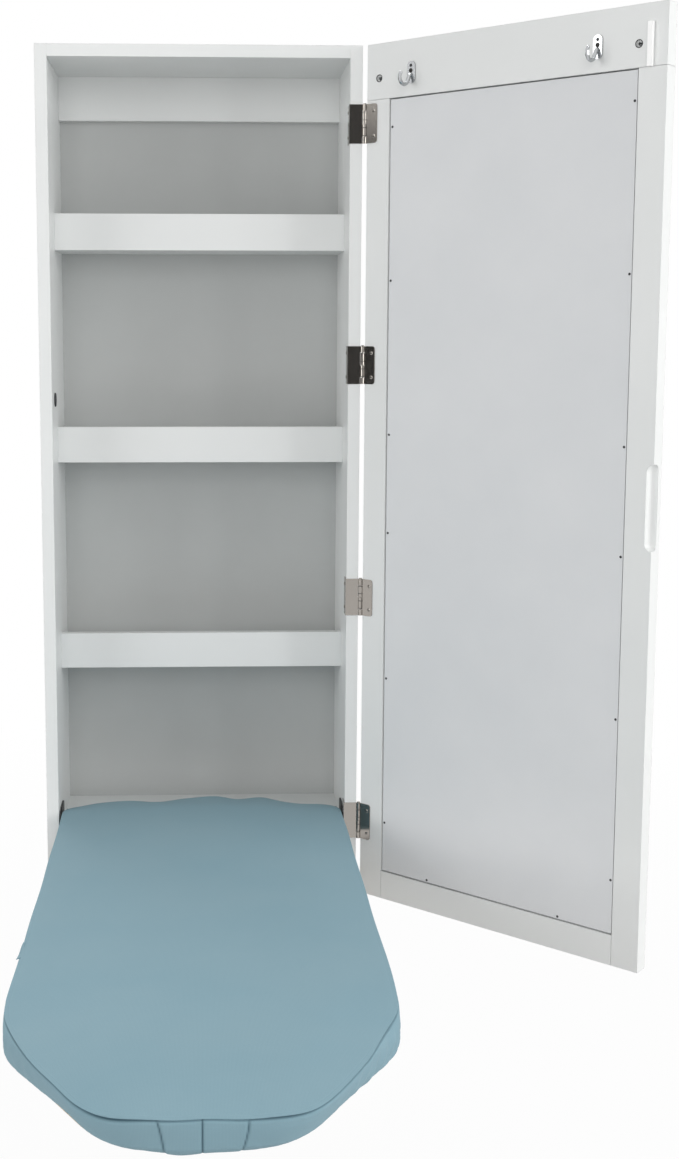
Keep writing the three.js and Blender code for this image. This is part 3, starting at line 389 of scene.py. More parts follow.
@dataclass(frozen=True)
class WovenCotton(Finish):
    """Plain woven cotton drill, piece dyed: matt, dusty, with a faint sheen at glancing angles."""

    thread: float = 1.1 * MM
    grain_depth: float = 0.10 * MM
    drift: float = 0.11
    other: str = "#84A4B0"
    between_threads: str = "#E9EEF0"
    # Painted shade: the dark colour that the seam's groove and the pleat's folds are tinted to.
    seam_shade_colour: str = "#35525E"
    sheen_colour: str = "#C6D6DC"

    def detail(self, tree: bpy.types.NodeTree, shader: bpy.types.Node) -> None:
        """Add the weave, drawn twice as coarse as the real 0.5 mm so that it shows, the dye's drift, and
        painted shade in the seam's groove and the pleat's folds.
        """
        cloth = add_node(tree, "UVMap", {"uv_map": "cloth"})
        weave = {}
        for place, direction in enumerate(("X", "Y")):
            threads = {
                "bands_direction": direction,
                "Scale": math.tau / (20 * self.thread),
                "Distortion": 1.2,
                "Detail": 2.0,
                "Detail Scale": 1.5,
            }
            wave = add_node(tree, "TexWave", threads, {"Vector": cloth.outputs["UV"]})
            weave[place] = wave.outputs["Fac"]
        both = add_node(tree, "Math", {"operation": "MAXIMUM"}, weave)
        patches = {"Scale": 1 / self.drift, "Detail": 6.0}
        drift = add_node(tree, "TexNoise", patches, {"Vector": self.place(tree)})
        dye = {"data_type": "RGBA", 6: linear(self.other), 7: linear(self.colour)}
        tone = add_node(tree, "Mix", dye, {"Factor": drift.outputs["Fac"]})
        threaded = add_node(
            tree,
            "Mix",
            {"data_type": "RGBA", "blend_type": "MULTIPLY", 7: linear(self.between_threads)},
            {"Factor": both.outputs["Value"], 6: tone.outputs[2]},
        )
        # Painted shade: the pressed attribute darkens the cloth towards the seam's shade colour along the
        # seam's groove and the pleat's folds.
        painted_seam_shade = add_node(tree, "Attribute", {"attribute_name": "painted_seam_shade"})
        shaded = add_node(
            tree,
            "Mix",
            {"data_type": "RGBA", 7: linear(self.seam_shade_colour)},
            {"Factor": painted_seam_shade.outputs["Fac"], 6: threaded.outputs[2]},
        )
        tree.links.new(shaded.outputs[2], shader.inputs["Base Color"])
        self.relief(tree, shader, both.outputs["Value"])
        shader.inputs["Sheen Weight"].default_value = 0.12
        shader.inputs["Sheen Roughness"].default_value = 0.5
        shader.inputs["Sheen Tint"].default_value = linear(self.sheen_colour)
        shader.inputs["Specular IOR Level"].default_value = 0.25


class Finishes:
    """Every finish of the cabinet, made once and shared by its pieces."""

    def __init__(self) -> None:
        """Make the materials."""
        self.slots: dict[str, str] = {}
        self.lacquer = self._make(
            SatinLacquer("satin_white_lacquer", "lacquered_board", "#E7E8E7", 0.36, edge=0.9 * MM)
        )
        self.backing = self._make(MattPaint("matt_white_hardboard", "thin_panel", "#E0E1E2", 0.6))
        # The back panel's grey is partly the hardboard's own tone and partly painted shade of the cabinet's
        # deep interior.
        self.back_panel = self._make(
            MattPaint("grey_hardboard_with_painted_shade", "thin_panel", "#C1C3C2", 0.66, other="#B8BAB9")
        )
        self.nylon = self._make(
            MouldedNylon("moulded_white_nylon", "white_plastic", "#FDFDFC", 0.3, edge=0.5 * MM)
        )
        self.mirror = self._make(SilveredGlass("silvered_glass", "mirror_glass", "#E3E9EA", 0.015, 1.0))
        self.chrome = self._make(
            PlatedMetal("polished_chrome_plate", "bright_chrome", "#BCBEC0", 0.06, 1.0, edge=0.3 * MM)
        )
        self.nickel = self._make(
            PlatedMetal("bright_nickel_plate", "nickel_steel", "#A29D97", 0.12, 1.0, haze=0.08)
        )
        self.zinc = self._make(
            PlatedMetal("dull_zinc_plate", "zinc_steel", "#B4B6B8", 0.34, 1.0, haze=0.16)
        )
        # Painted reflection: the hook screws' near-black colour stands for the dark that their zinc
        # reflects.
        self.dark_reflection_zinc = self._make(
            PlatedMetal("zinc_with_painted_dark_reflection", "zinc_steel", "#3C3B3A", 0.3, 1.0, haze=0.1)
        )
        # Black powder coat for the pivot arms and brackets, also used as painted shade in the screws'
        # recesses.
        self.black_coat_and_shade = self._make(PowderCoat("black_powder_coat_and_painted_shade", "black_steel", "#1D1E20", 0.46))
        self.silver_coat = self._make(
            PowderCoat("silver_grey_powder_coat", "silver_paint", "#B9BDC0", 0.34, other="#A9ADB1")
        )
        self.plywood = self._make(BarePlywood("bare_plywood", "core_board", "#CFB893", 0.6))
        self.cotton = self._make(WovenCotton("dusty_blue_cotton", "cotton_cover", "#8FAAB4", 0.85))
        # Black rubber for the buffer and the foot, also used as painted shade in the countersink rings, the
        # hook holes and the hinges' gaps.
        self.rubber = self._make(MouldedRubber("black_rubber_and_painted_shade", "black_rubber", "#26272A", 0.7))

    def _make(self, finish: Finish) -> bpy.types.Material:
        """Build a finish and note its slot."""
        self.slots[finish.name] = finish.slot
        return finish.build()


# --- pieces and meshes -------------------------------------------------------------------------


def dress(material: bpy.types.Material, *names: str) -> None:
    """Give CAD nodes their material.

    Args:
        material: The material.
        names: Names of the nodes.
    """
    for name in names:
        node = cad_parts[name]
        if not node.material_slots:
            node.data.materials.append(material)
        for place in node.material_slots:
            place.material = material
        log.info("dressed %s in %s", name, material.name)


def centre(node: str) -> Vector:
    """Middle of a CAD node's box."""
    low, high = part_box(node)
    return (low + high) / 2


def facing_matrix(place: Vector, facing: Vector, up: Vector = UP) -> Matrix:
    """Give the matrix that sets a piece drawn along Z on a face.

    Args:
        place: Where the piece's origin goes.
        facing: Direction that the piece's Z takes.
        up: Direction that the piece's Y takes, as near as it can.

    Returns:
        The matrix.
    """
    z = facing.normalized()
    x = up.cross(z).normalized()
    y = z.cross(x)
    turn = Matrix((x, y, z)).transposed().to_4x4()
    return Matrix.Translation(place) @ turn


def add_piece(
    name: str,
    mesh: bpy.types.Mesh,
    material: bpy.types.Material,
    body: str,
    recess: bpy.types.Material | None = None,
) -> bpy.types.Object:
    """Put a mesh in the scene as a piece that rides on a body.

    Args:
        name: The piece's name.
        mesh: Its mesh, in the model's frame.
        material: Its material.
        body: The body that it rides on.
        recess: Material of the faces in a screw's recess, a painted shade.

    Returns:
        The new object.
    """
    mesh.materials.append(material)
    if recess:
        mesh.materials.append(recess)
    piece = bpy.data.objects.new(name, mesh)
    bpy.context.scene.collection.objects.link(piece)
    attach(piece, body)
    log.info("made %s with %d faces on %s", name, len(mesh.polygons), body)
    return piece


def mesh_of(bm: bmesh.types.BMesh, name: str) -> bpy.types.Mesh:
    """Turn drawn geometry into a mesh.

    Args:
        bm: The drawn geometry, which is used up.
        name: The mesh's name.

    Returns:
        The mesh.
    """
    mesh = bpy.data.meshes.new(name)
    bm.to_mesh(mesh)
    bm.free()
    return mesh


def turned_mesh(
    name: str, profile: Sequence[tuple[float, float]], segments: int = 32
) -> bpy.types.Mesh:
    """Make a turned shape about Z, closed where its profile meets the axis or itself.

    Args:
        name: The mesh's name.
        profile: Radius and height of each ring, from one end to the other.
        segments: Number of segments round the axis.

    Returns:
        The mesh.
    """
    bm = bmesh.new()
    rings = []
    angles = [math.tau * i / segments for i in range(segments)]
    for radius, height in profile:
        if radius <= 0:
            rings.append([bm.verts.new((0, 0, height))])
            continue
        rings.append([bm.verts.new((radius * math.cos(a), radius * math.sin(a), height)) for a in angles])
    for low, high in zip(rings, rings[1:]):
        for i in range(segments):
            j = (i + 1) % segments
            loop = [low[i % len(low)], low[j % len(low)], high[j % len(high)], high[i % len(high)]]
            unique = list(dict.fromkeys(loop))
            if len(unique) > 2:
                bm.faces.new(unique)
    bmesh.ops.remove_doubles(bm, verts=bm.verts, dist=0.001 * MM)
    bmesh.ops.recalc_face_normals(bm, faces=bm.faces)
    return mesh_of(bm, name)


def smooth_faces(mesh: bpy.types.Mesh, angle: float = math.radians(35)) -> None:
    """Shade a mesh smooth and keep its sharp edges.

    Args:
        mesh: The mesh.
        angle: Edges sharper than this stay sharp.
    """
    bm = bmesh.new()
    bm.from_mesh(mesh)
    for face in bm.faces:
        face.smooth = True
    for edge in bm.edges:
        edge.smooth = len(edge.link_faces) != 2 or edge.calc_face_angle(0) < angle
    bm.to_mesh(mesh)
    bm.free()


def repeated(mesh: bpy.types.Mesh, places: Iterable[Matrix], name: str) -> bpy.types.Mesh:
    """Join copies of a mesh.

    Args:
        mesh: What is repeated.
        places: Where each copy goes.
        name: Name of the joined mesh.

    Returns:
        The joined mesh.
    """
    bm = bmesh.new()
    for matrix in places:
        copy = mesh.copy()
        copy.transform(matrix)
        bm.from_mesh(copy)
        bpy.data.meshes.remove(copy)
    return mesh_of(bm, name)


@dataclass(frozen=True)
class CrossHeadScrew:
    """A screw's domed head with a cross recess, drawn on Z with its underside at 0.

    The shares are of the head's radius, and for the rim and the recess's depth of its height.
    """

    radius: float
    height: float
    rim_share: float = 0.3
    foot_share: float = 0.94
    dome_steps: int = 8
    recess_reach: float = 0.62
    recess_width: float = 0.24
    recess_depth: float = 0.9
    slack: float = 0.01 * MM

    def mesh(self) -> bpy.types.Mesh:
        """Build one head.

        Returns:
            The head's mesh, with the faces in its recess in the second material, which paints their shade.
        """
        rim = self.rim_share * self.height
        angles = [i * math.pi / 2 / self.dome_steps for i in range(self.dome_steps)]
        dome = [
            (self.radius * math.cos(a), rim + (self.height - rim) * math.sin(a)) for a in angles
        ]
        foot = self.radius * self.foot_share
        head = turned_mesh("screw_head", [(0, 0), (foot, 0), *dome, (0, self.height)])
        cut = self._cut(head)
        self._paint_recess_shade(cut)
        smooth_faces(cut)
        return cut

    def _cut(self, head: bpy.types.Mesh) -> bpy.types.Mesh:
        """Cut the cross into the head.

        Args:
            head: The plain head.

        Returns:
            The head with its recess.
        """
        body = bpy.data.objects.new("screw_head", head)
        bpy.context.scene.collection.objects.link(body)
        cutters = []
        reach = 2 * self.recess_reach * self.radius
        width = self.recess_width * self.radius
        for size in ((reach, width), (width, reach)):
            bm = bmesh.new()
            bmesh.ops.create_cube(bm, size=1)
            bmesh.ops.scale(bm, vec=(*size, self.recess_depth * self.height * 2), verts=bm.verts)
            bmesh.ops.translate(bm, vec=(0, 0, self.height), verts=bm.verts)
            arm = bpy.data.objects.new("cross_arm", mesh_of(bm, "cross_arm"))
            bpy.context.scene.collection.objects.link(arm)
            cutters.append(arm)
            cut = body.modifiers.new("cross", "BOOLEAN")
            cut.operation = "DIFFERENCE"
            cut.solver = "EXACT"
            cut.object = arm
        bpy.context.view_layer.update()
        shown = body.evaluated_get(bpy.context.evaluated_depsgraph_get())
        result = bpy.data.meshes.new_from_object(shown)
        for helper in [body, *cutters]:
            bpy.data.objects.remove(helper)
        return result

    def _paint_recess_shade(self, head: bpy.types.Mesh) -> None:
        """Give the recess's floor and walls the second material, which paints the shade that falls in them.

        Args:
            head: The head with its recess, which is changed.
        """
        half = self.recess_width * self.radius / 2 + self.slack
        end = self.recess_reach * self.radius + self.slack
        floor = self.height * (1 - self.recess_depth) + 5 * self.slack
        for face in head.polygons:
            x, y, z = face.center
            in_cross = min(abs(x), abs(y)) < half and max(abs(x), abs(y)) < end
            on_floor = 5 * self.slack < z < floor
            face.material_index = int(in_cross and (on_floor or abs(face.normal.z) < 0.1))


# --- carcass -----------------------------------------------------------------------------------


@dataclass
class Carcass:
    """The white case with its shelves, the hanging rail, the stop cleat and the rubber buffer."""

    shelves: int = 3

    def build(self, finishes: Finishes) -> None:
        """Dress the case.

        Args:
            finishes: The cabinet's finishes.
        """
        panels = ["side_panel_left", "side_panel_right", "top_panel", "bottom_panel", "hanging_rail"]
        numbers = range(1, self.shelves + 1)
        shelves = [f"shelf_{part}_{i}" for part in ("lip", "board") for i in numbers]
        dress(finishes.lacquer, *panels, *shelves, "low_shelf", "leg_stop_cleat")
        # The back panel's darker grey is partly its own tone and partly painted shade.
        dress(finishes.back_panel, "back_panel")
        dress(finishes.rubber, "board_buffer")


# --- door --------------------------------------------------------------------------------------


@dataclass
class Door:
    """The framed door: its mirror, the backing with its nails, and what is screwed to the frame.

    Attributes:
        open_degrees: How far the door stands open.
        nail_heights: Heights above the cabinet's foot of the nails along the backing's two sides.
        nail_inset: Distance of the nails from the backing's edge.
        bottom_nails: Places of the nails along the bottom, as shares of the backing's width.
        screw_share: Radius of a frame screw's head, as a share of its hole's.
        shadow_ring_width: Width of the black ring round a frame screw, painted as its countersink's shadow.
        hook_front: Distance from the top rail's face to the front of a hook's plate.
        hook_screw_drop: Distance from the plate's top down to its screw.
        hook_hole_drop: Distance from the plate's top down to its open hole.
    """

    open_degrees: float = 136.4
    nail_heights: tuple[float, ...] = (0.972, 0.788, 0.599, 0.476, 0.290, 0.101)
    nail_inset: float = 2.6 * MM
    bottom_nails: tuple[float, ...] = (0.212, 0.785)
    nail_radius: float = 1.5 * MM
    nail_height: float = 0.45 * MM
    screw_share: float = 0.92
    shadow_ring_width: float = 0.9 * MM
    hook_front: float = 2.1 * MM
    hook_screw_drop: float = 11 * MM
    hook_hole_shade_drop: float = 5.2 * MM
    hook_hole_shade_radius: float = 1.9 * MM
    hook_hole_shade_height: float = 0.25 * MM

    def build(self, finishes: Finishes) -> None:
        """Dress the door and add its small fixings.

        Args:
            finishes: The cabinet's finishes.
        """
        stiles = ("door_stile_hinge", "door_stile_free")
        dress(finishes.lacquer, *stiles, "door_top_rail", "door_bottom_rail")
        dress(finishes.mirror, "mirror_glass")
        dress(finishes.backing, "mirror_backing")
        dress(finishes.nylon, "door_guide_block")
        dress(finishes.chrome, "hook_left", "hook_right")
        self._frame_screws(finishes)
        self._hook_screws(finishes)
        self._nails(finishes)

    @property
    def along(self) -> Vector:
        """Direction from the hinge edge to the free edge."""
        turn = math.radians(self.open_degrees)
        return Vector((-math.cos(turn), -math.sin(turn), 0))

    @property
    def inward(self) -> Vector:
        """Direction that the door's inner face looks in."""
        turn = math.radians(self.open_degrees)
        return Vector((-math.sin(turn), math.cos(turn), 0))

    def span(self, node: str, direction: Vector) -> tuple[float, float]:
        """Give how far a node reaches along a direction.

        Args:
            node: The node's name.
            direction: The direction.

        Returns:
            The lowest and highest reach, in metres from the frame's origin.
        """
        reach = [direction.dot(v.co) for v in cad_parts[node].data.vertices]
        return min(reach), max(reach)

    def on_face(self, node: str, share_along: float, height: float) -> Vector:
        """Give a place on the inner face of a node of the door.

        Args:
            node: The node's name.
            share_along: Share of the node's width, from its hinge end.
            height: The place's height.

        Returns:
            The place.
        """
        near, far = self.span(node, self.along)
        _, face = self.span(node, self.inward)
        along = near + share_along * (far - near)
        return self.along * along + self.inward * face + UP * height

    def _frame_screws(self, finishes: Finishes) -> None:
        """Replace the two plain screws in the top rail by cross-head ones, each in a low black ring that
        paints the countersink's shadow.
        """
        _, face = self.span("door_top_rail", self.inward)
        for side in Side:
            node = f"frame_screw_{side.word}"
            middle = self.on_face(node, 0.5, centre(node).z)
            back, front = self.span(node, self.inward)
            near, far = self.span(node, self.along)
            radius = (far - near) / 2
            head = CrossHeadScrew(self.screw_share * radius, front - back, recess_width=0.3)
            place = facing_matrix(middle - self.inward * (front - back), self.inward)
            screw = add_piece(
                f"frame_screw_head_{side.word}",
                repeated(head.mesh(), [place], "frame_screw_head"),
                finishes.zinc,
                "door",
                recess=finishes.black_coat_and_shade,
            )
            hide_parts(node)
            # Painted shadow: a black ring stands where the countersink's shade falls.
            ring = self._shadow_ring(radius)
            ring.transform(facing_matrix(middle + self.inward * (face - front), self.inward))
            smooth_faces(ring)
            add_piece(f"countersink_shadow_ring_{side.word}", ring, finishes.rubber, "door")

    def _shadow_ring(self, radius: float) -> bpy.types.Mesh:
        """Make the low black ring round a frame screw that paints its countersink's shadow.

        Args:
            radius: Radius of the screw's hole.

        Returns:
            The ring's mesh.
        """
        inner = radius - 0.2 * self.shadow_ring_width
        outer = radius + 0.8 * self.shadow_ring_width
        shoulder = 0.3 * self.shadow_ring_width
        top = 0.5 * self.shadow_ring_width
        profile = [
            (inner, 0),
            (outer, 0),
            (outer, shoulder),
            ((inner + outer) / 2, top),
            (inner, shoulder),
            (inner, 0),
        ]
        return turned_mesh("countersink_shadow_ring", profile)

    def _hook_screws(self, finishes: Finishes) -> None:
        """Add a black disc that paints the shade in the open hole of each hook's plate, and the screw below
        it, whose dark zinc is a painted reflection.
        """
        screw = CrossHeadScrew(radius=2.5 * MM, height=1.2 * MM).mesh()
        radius, height = self.hook_hole_shade_radius, self.hook_hole_shade_height
        hole = turned_mesh("hook_hole_shade", [(0, 0), (radius, 0), (radius, height), (0, height)], 24)
        smooth_faces(hole)
        _, face = self.span("door_top_rail", self.inward)
        for side in Side:
            node = f"hook_{side.word}"
            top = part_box(node)[1].z
            near, far = self.span(node, self.along)
            plate = self.along * ((near + far) / 2) + self.inward * (face + self.hook_front)
            screw_place = facing_matrix(plate + UP * (top - self.hook_screw_drop), self.inward)
            hole_place = facing_matrix(plate + UP * (top - self.hook_hole_shade_drop), self.inward)
            # The hook screw's dark zinc is a painted dark reflection.
            add_piece(
                f"hook_screw_{side.word}",
                repeated(screw, [screw_place], "hook_screw"),
                finishes.dark_reflection_zinc,
                "door",
                recess=finishes.black_coat_and_shade,
            )
            # Painted shade: a black disc stands for the dark inside the hook's open hole.
            shown = repeated(hole, [hole_place], "hook_hole_shade")
            add_piece(f"hook_hole_shade_{side.word}", shown, finishes.rubber, "door")

    def _nails(self, finishes: Finishes) -> None:
        """Add the small nails that hold the backing in its rabbet."""
        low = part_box("mirror_backing")[0]
        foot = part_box("side_panel_right")[0]
        near, far = self.span("mirror_backing", self.along)
        inset = self.nail_inset / (far - near)
        spots = [
            (share, foot.z + height) for height in self.nail_heights for share in (inset, 1 - inset)
        ]
        spots += [(share, low.z + self.nail_inset) for share in self.bottom_nails]
        places = [
            facing_matrix(self.on_face("mirror_backing", share, height), self.inward)
            for share, height in spots
        ]
        radius, height = self.nail_radius, self.nail_height
        profile = [(0, 0), (radius, 0), (radius, 0.5 * height), (0.6 * radius, 0.9 * height), (0, height)]
        nail = turned_mesh("nail", profile, 16)
        smooth_faces(nail)
        nails = repeated(nail, places, "backing_nails")
        add_piece("backing_nails", nails, finishes.black_coat_and_shade, "door")


# --- hinges ------------------------------------------------------------------------------------


@dataclass
class Hinges:
    """The four butt hinges and the screws in their leaves.

    Attributes:
        screw_pitch: Distance between a leaf's two screws.
        leaf_lift: Distance from the door's frame to the front of a leaf.
        door_screw_edge: Distance of the screws from the door leaf's far edge.
        wrap_screw_edge: Distance of the screws from the cabinet leaf's rear edge.
        gap: Height of the gap between two knuckles.
        gap_lift: How far the black ring that paints a gap's shade stands proud of the knuckles.
    """

    count: int = 4
    screw_pitch: float = 30 * MM
    screw_radius: float = 2.3 * MM
    screw_height: float = 0.7 * MM
    leaf_lift: float = 1.1 * MM
    door_screw_edge: float = 4.6 * MM
    wrap_screw_edge: float = 5.5 * MM
    knuckles: int = 5
    gap: float = 0.7 * MM
    gap_lift: float = 0.12 * MM

    def build(self, finishes: Finishes, door: Door) -> None:
        """Dress the hinges and add their screws.

        Args:
            finishes: The cabinet's finishes.
            door: The door that they carry.
        """
        screw = CrossHeadScrew(self.screw_radius, self.screw_height).mesh()
        _, frame_face = door.span("door_stile_hinge", door.inward)
        for number in range(1, self.count + 1):
            door_leaf = f"hinge_door_leaf_{number}"
            cabinet_leaf = f"hinge_cabinet_leaf_{number}"
            dress(finishes.nickel, door_leaf, cabinet_leaf, f"hinge_pin_{number}")
            middle = centre(cabinet_leaf).z
            heights = [middle + sign * self.screw_pitch / 2 for sign in (-1, 1)]
            _, far = door.span(door_leaf, door.along)
            on_leaf = door.along * (far - self.door_screw_edge)
            on_leaf += door.inward * (frame_face + self.leaf_lift)
            low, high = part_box(cabinet_leaf)
            on_wrap = Vector((low.x, high.y - self.wrap_screw_edge, 0))
            for body, spot, facing in (
                ("door", on_leaf, door.inward),
                ("cabinet", on_wrap, Vector((-1, 0, 0))),
            ):
                places = [facing_matrix(spot + UP * z, facing) for z in heights]
                add_piece(
                    f"hinge_{body}_screws_{number}",
                    repeated(screw, places, f"hinge_{body}_screws"),
                    finishes.nickel,
                    body,
                    recess=finishes.black_coat_and_shade,
                )
            self._gaps(number, finishes)

    def _gaps(self, number: int, finishes: Finishes) -> None:
        """Paint the shade in the gaps between a hinge's knuckles as thin black rings.

        Args:
            number: Number of the hinge.
            finishes: The cabinet's finishes.
        """
        axis = centre(f"hinge_pin_{number}")
        low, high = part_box(f"hinge_cabinet_leaf_{number}")
        radius = axis.y - low.y + self.gap_lift
        half = self.gap / 2
        ring = turned_mesh("knuckle_gap_shade", [(0, -half), (radius, -half), (radius, half), (0, half)], 24)
        step = (high.z - low.z) / self.knuckles
        places = [
            Matrix.Translation((axis.x, axis.y, low.z + step * k)) for k in range(1, self.knuckles)
        ]
        rings = repeated(ring, places, "knuckle_gap_shades")
        smooth_faces(rings)
        # Painted shade: thin black rings in the knuckles' gaps.
        add_piece(f"knuckle_gap_shades_{number}", rings, finishes.rubber, "cabinet")


# --- ironing board -----------------------------------------------------------------------------


def smooth_round(values: np.ndarray, width: float) -> np.ndarray:
    """Smooth values that lie evenly round a loop.

    Args:
        values: The values.
        width: Width of the smoothing, in samples.

    Returns:
        The smoothed values.
    """
    span = int(4 * width)
    offsets = np.arange(-span, span + 1)
    weights = np.exp(-0.5 * (offsets / width) ** 2)
    weights /= weights.sum()
    return sum(w * np.roll(values, -k) for k, w in zip(offsets, weights))


def step_up(values: np.ndarray, place: float, width: float) -> np.ndarray:
    """A smooth step from 0 to 1 at a place."""
    return 1 / (1 + np.exp(-(values - place) / width))


@dataclass(frozen=True)
class Swell:
    """A smooth rise along a line, or a hollow where its height is negative."""

    middle: float
    width: float
    height: float = 1.0

    def at(self, values: np.ndarray) -> np.ndarray:
        """The rise's height at each value."""
        return self.height * np.exp(-(((values - self.middle) / self.width) ** 2))


@dataclass(frozen=True)
class Wave:
    """A wave along a line. Its length is that of one radian."""

    height: float
    length: float
    phase: float = 0.0

    def at(self, values: np.ndarray) -> np.ndarray:
        """The wave's height at each value."""
        return self.height * np.sin(values / self.length + self.phase)


def total(forms: Iterable[Swell | Wave], values: np.ndarray) -> np.ndarray:
    """Add up swells or waves.

    Args:
        forms: The swells or waves.
        values: Places along the line.

    Returns:
        Their height together at each place.
    """
    return sum(form.at(values) for form in forms)


class BoardOutline:
    """The board's outline in plan, taken from its cover's solid and smoothed.

    Attributes:
        points: Places in plan, one row for each station.
        normals: Outward direction at each station.
        arc: Distance round the outline of each station, from the middle of the nose.
        length: Length of the whole outline.
    """

    fan_degrees: float = 0.5
    rows: int = 140
    fine_step: float = 1 * MM
    smoothing: float = 5.0
    pleat_reach: float = 46 * MM
    pleat_step: float = 1.3 * MM
    other_stations: int = 470
    tangent_reach: float = 2 * MM

    def __init__(self, shoulder: float, tail: float, height: float, tree: BVHTree) -> None:
        """Trace the outline.

        Args:
            shoulder: Y of the nose's shoulders.
            tail: Y of the straight sides' rear end.
            height: Height at which the outline is taken.
            tree: The cover solid's surface.
        """
        self.shoulder = shoulder
        self.tail = tail
        raw = self._trace(height, tree)
        self.points, self.normals, self.arc, self.length = self._resample(raw)

    def _trace(self, height: float, tree: BVHTree) -> np.ndarray:
        """Look at the outline from all round its spine.

        Args:
            height: Height at which the outline is taken.
            tree: The cover solid's surface.

        Returns:
            The places that were met, in order, from the middle of the nose to the right.
        """
        fan = [math.radians(a) for a in np.arange(0, 90, self.fan_degrees)]
        rows = np.linspace(self.shoulder, self.tail, self.rows)
        views = [(self.shoulder, a) for a in fan]
        views += [(y, math.pi / 2) for y in rows]
        views += [(self.tail, math.pi - a) for a in reversed(fan)]
        views += [(y, -a) for y, a in reversed(views[1:-1])]
        found = []
        for y, angle in views:
            out = Vector((math.sin(angle), -math.cos(angle), 0))
            spine = Vector((0, y, height))
            hit = tree.ray_cast(spine + out, -out)[0]
            found.append((hit.x, hit.y))
        return np.array(found)

    def _measured(self, line: np.ndarray) -> tuple[np.ndarray, np.ndarray]:
        """Close a line and measure it.

        Args:
            line: Its places.

        Returns:
            The closed line and the distance along it of each place.
        """
        closed = np.vstack([line, line[:1]])
        steps = np.hypot(*np.diff(closed, axis=0).T)
        return closed, np.concatenate([[0], np.cumsum(steps)])

    def _resample(self, raw: np.ndarray) -> tuple[np.ndarray, np.ndarray, np.ndarray, float]:
        """Space the stations evenly, closer at the nose's pleat, and smooth out the facets.

        Args:
            raw: The traced places.

        Returns:
            Points, normals, arc and length.
        """
        closed, arc = self._measured(raw)
        fine = np.arange(0, arc[-1], self.fine_step)
        line = np.stack([np.interp(fine, arc, closed[:, k]) for k in (0, 1)], 1)
        line = np.stack([smooth_round(line[:, k], self.smoothing) for k in (0, 1)], 1)
        closed, arc = self._measured(line)
        length = arc[-1]

        def at(stations: np.ndarray) -> np.ndarray:
            """Places on the closed line at distances along it."""
            return np.stack([np.interp(stations % length, arc, closed[:, k]) for k in (0, 1)], 1)

        near = np.arange(0, self.pleat_reach, self.pleat_step)
        ends = (self.pleat_reach, length - self.pleat_reach)
        rest = np.linspace(*ends, self.other_stations, endpoint=False)
        stations = np.concatenate([near, rest, length - near[:0:-1]])
        tangent = at(stations + self.tangent_reach) - at(stations - self.tangent_reach)
        tangent /= np.hypot(*tangent.T)[:, None]
        normals = np.stack([tangent[:, 1], -tangent[:, 0]], 1)
        signed = np.where(stations > length / 2, stations - length, stations)
        return at(stations), normals, signed, length

    def share(self, places: np.ndarray) -> np.ndarray:
        """Give how far places lie from the spine to the outline.

        Args:
            places: Places in plan.

        Returns:
            0 on the spine, 1 on the outline.
        """
        spine = np.clip(places[:, 1], self.shoulder, self.tail)
        reach = np.hypot(places[:, 0], places[:, 1] - spine)
        edge = np.empty(len(places))
        own_spine = np.clip(self.points[:, 1], self.shoulder, self.tail)
        angle = np.arctan2(np.abs(self.points[:, 0]), self.points[:, 1] - own_spine)
        own_reach = np.hypot(self.points[:, 0], self.points[:, 1] - own_spine)
        nudge = 1e-9
        for sign in (-1, 1):
            mine = np.sign(places[:, 0] + nudge) == sign
            theirs = np.sign(self.points[:, 0] + nudge) == sign
            middle = theirs & (own_spine == self.points[:, 1])
            order = np.argsort(self.points[middle, 1])
            edge_mid = np.interp(
                places[:, 1], self.points[middle, 1][order], own_reach[middle][order]
            )
            around = np.argsort(angle[theirs])
            place_angle = np.arctan2(np.abs(places[:, 0]), places[:, 1] - spine)
            edge_fan = np.interp(place_angle, angle[theirs][around], own_reach[theirs][around])
            on_side = spine == places[:, 1]
            edge[mine] = np.where(on_side, edge_mid, edge_fan)[mine]
        return reach / edge


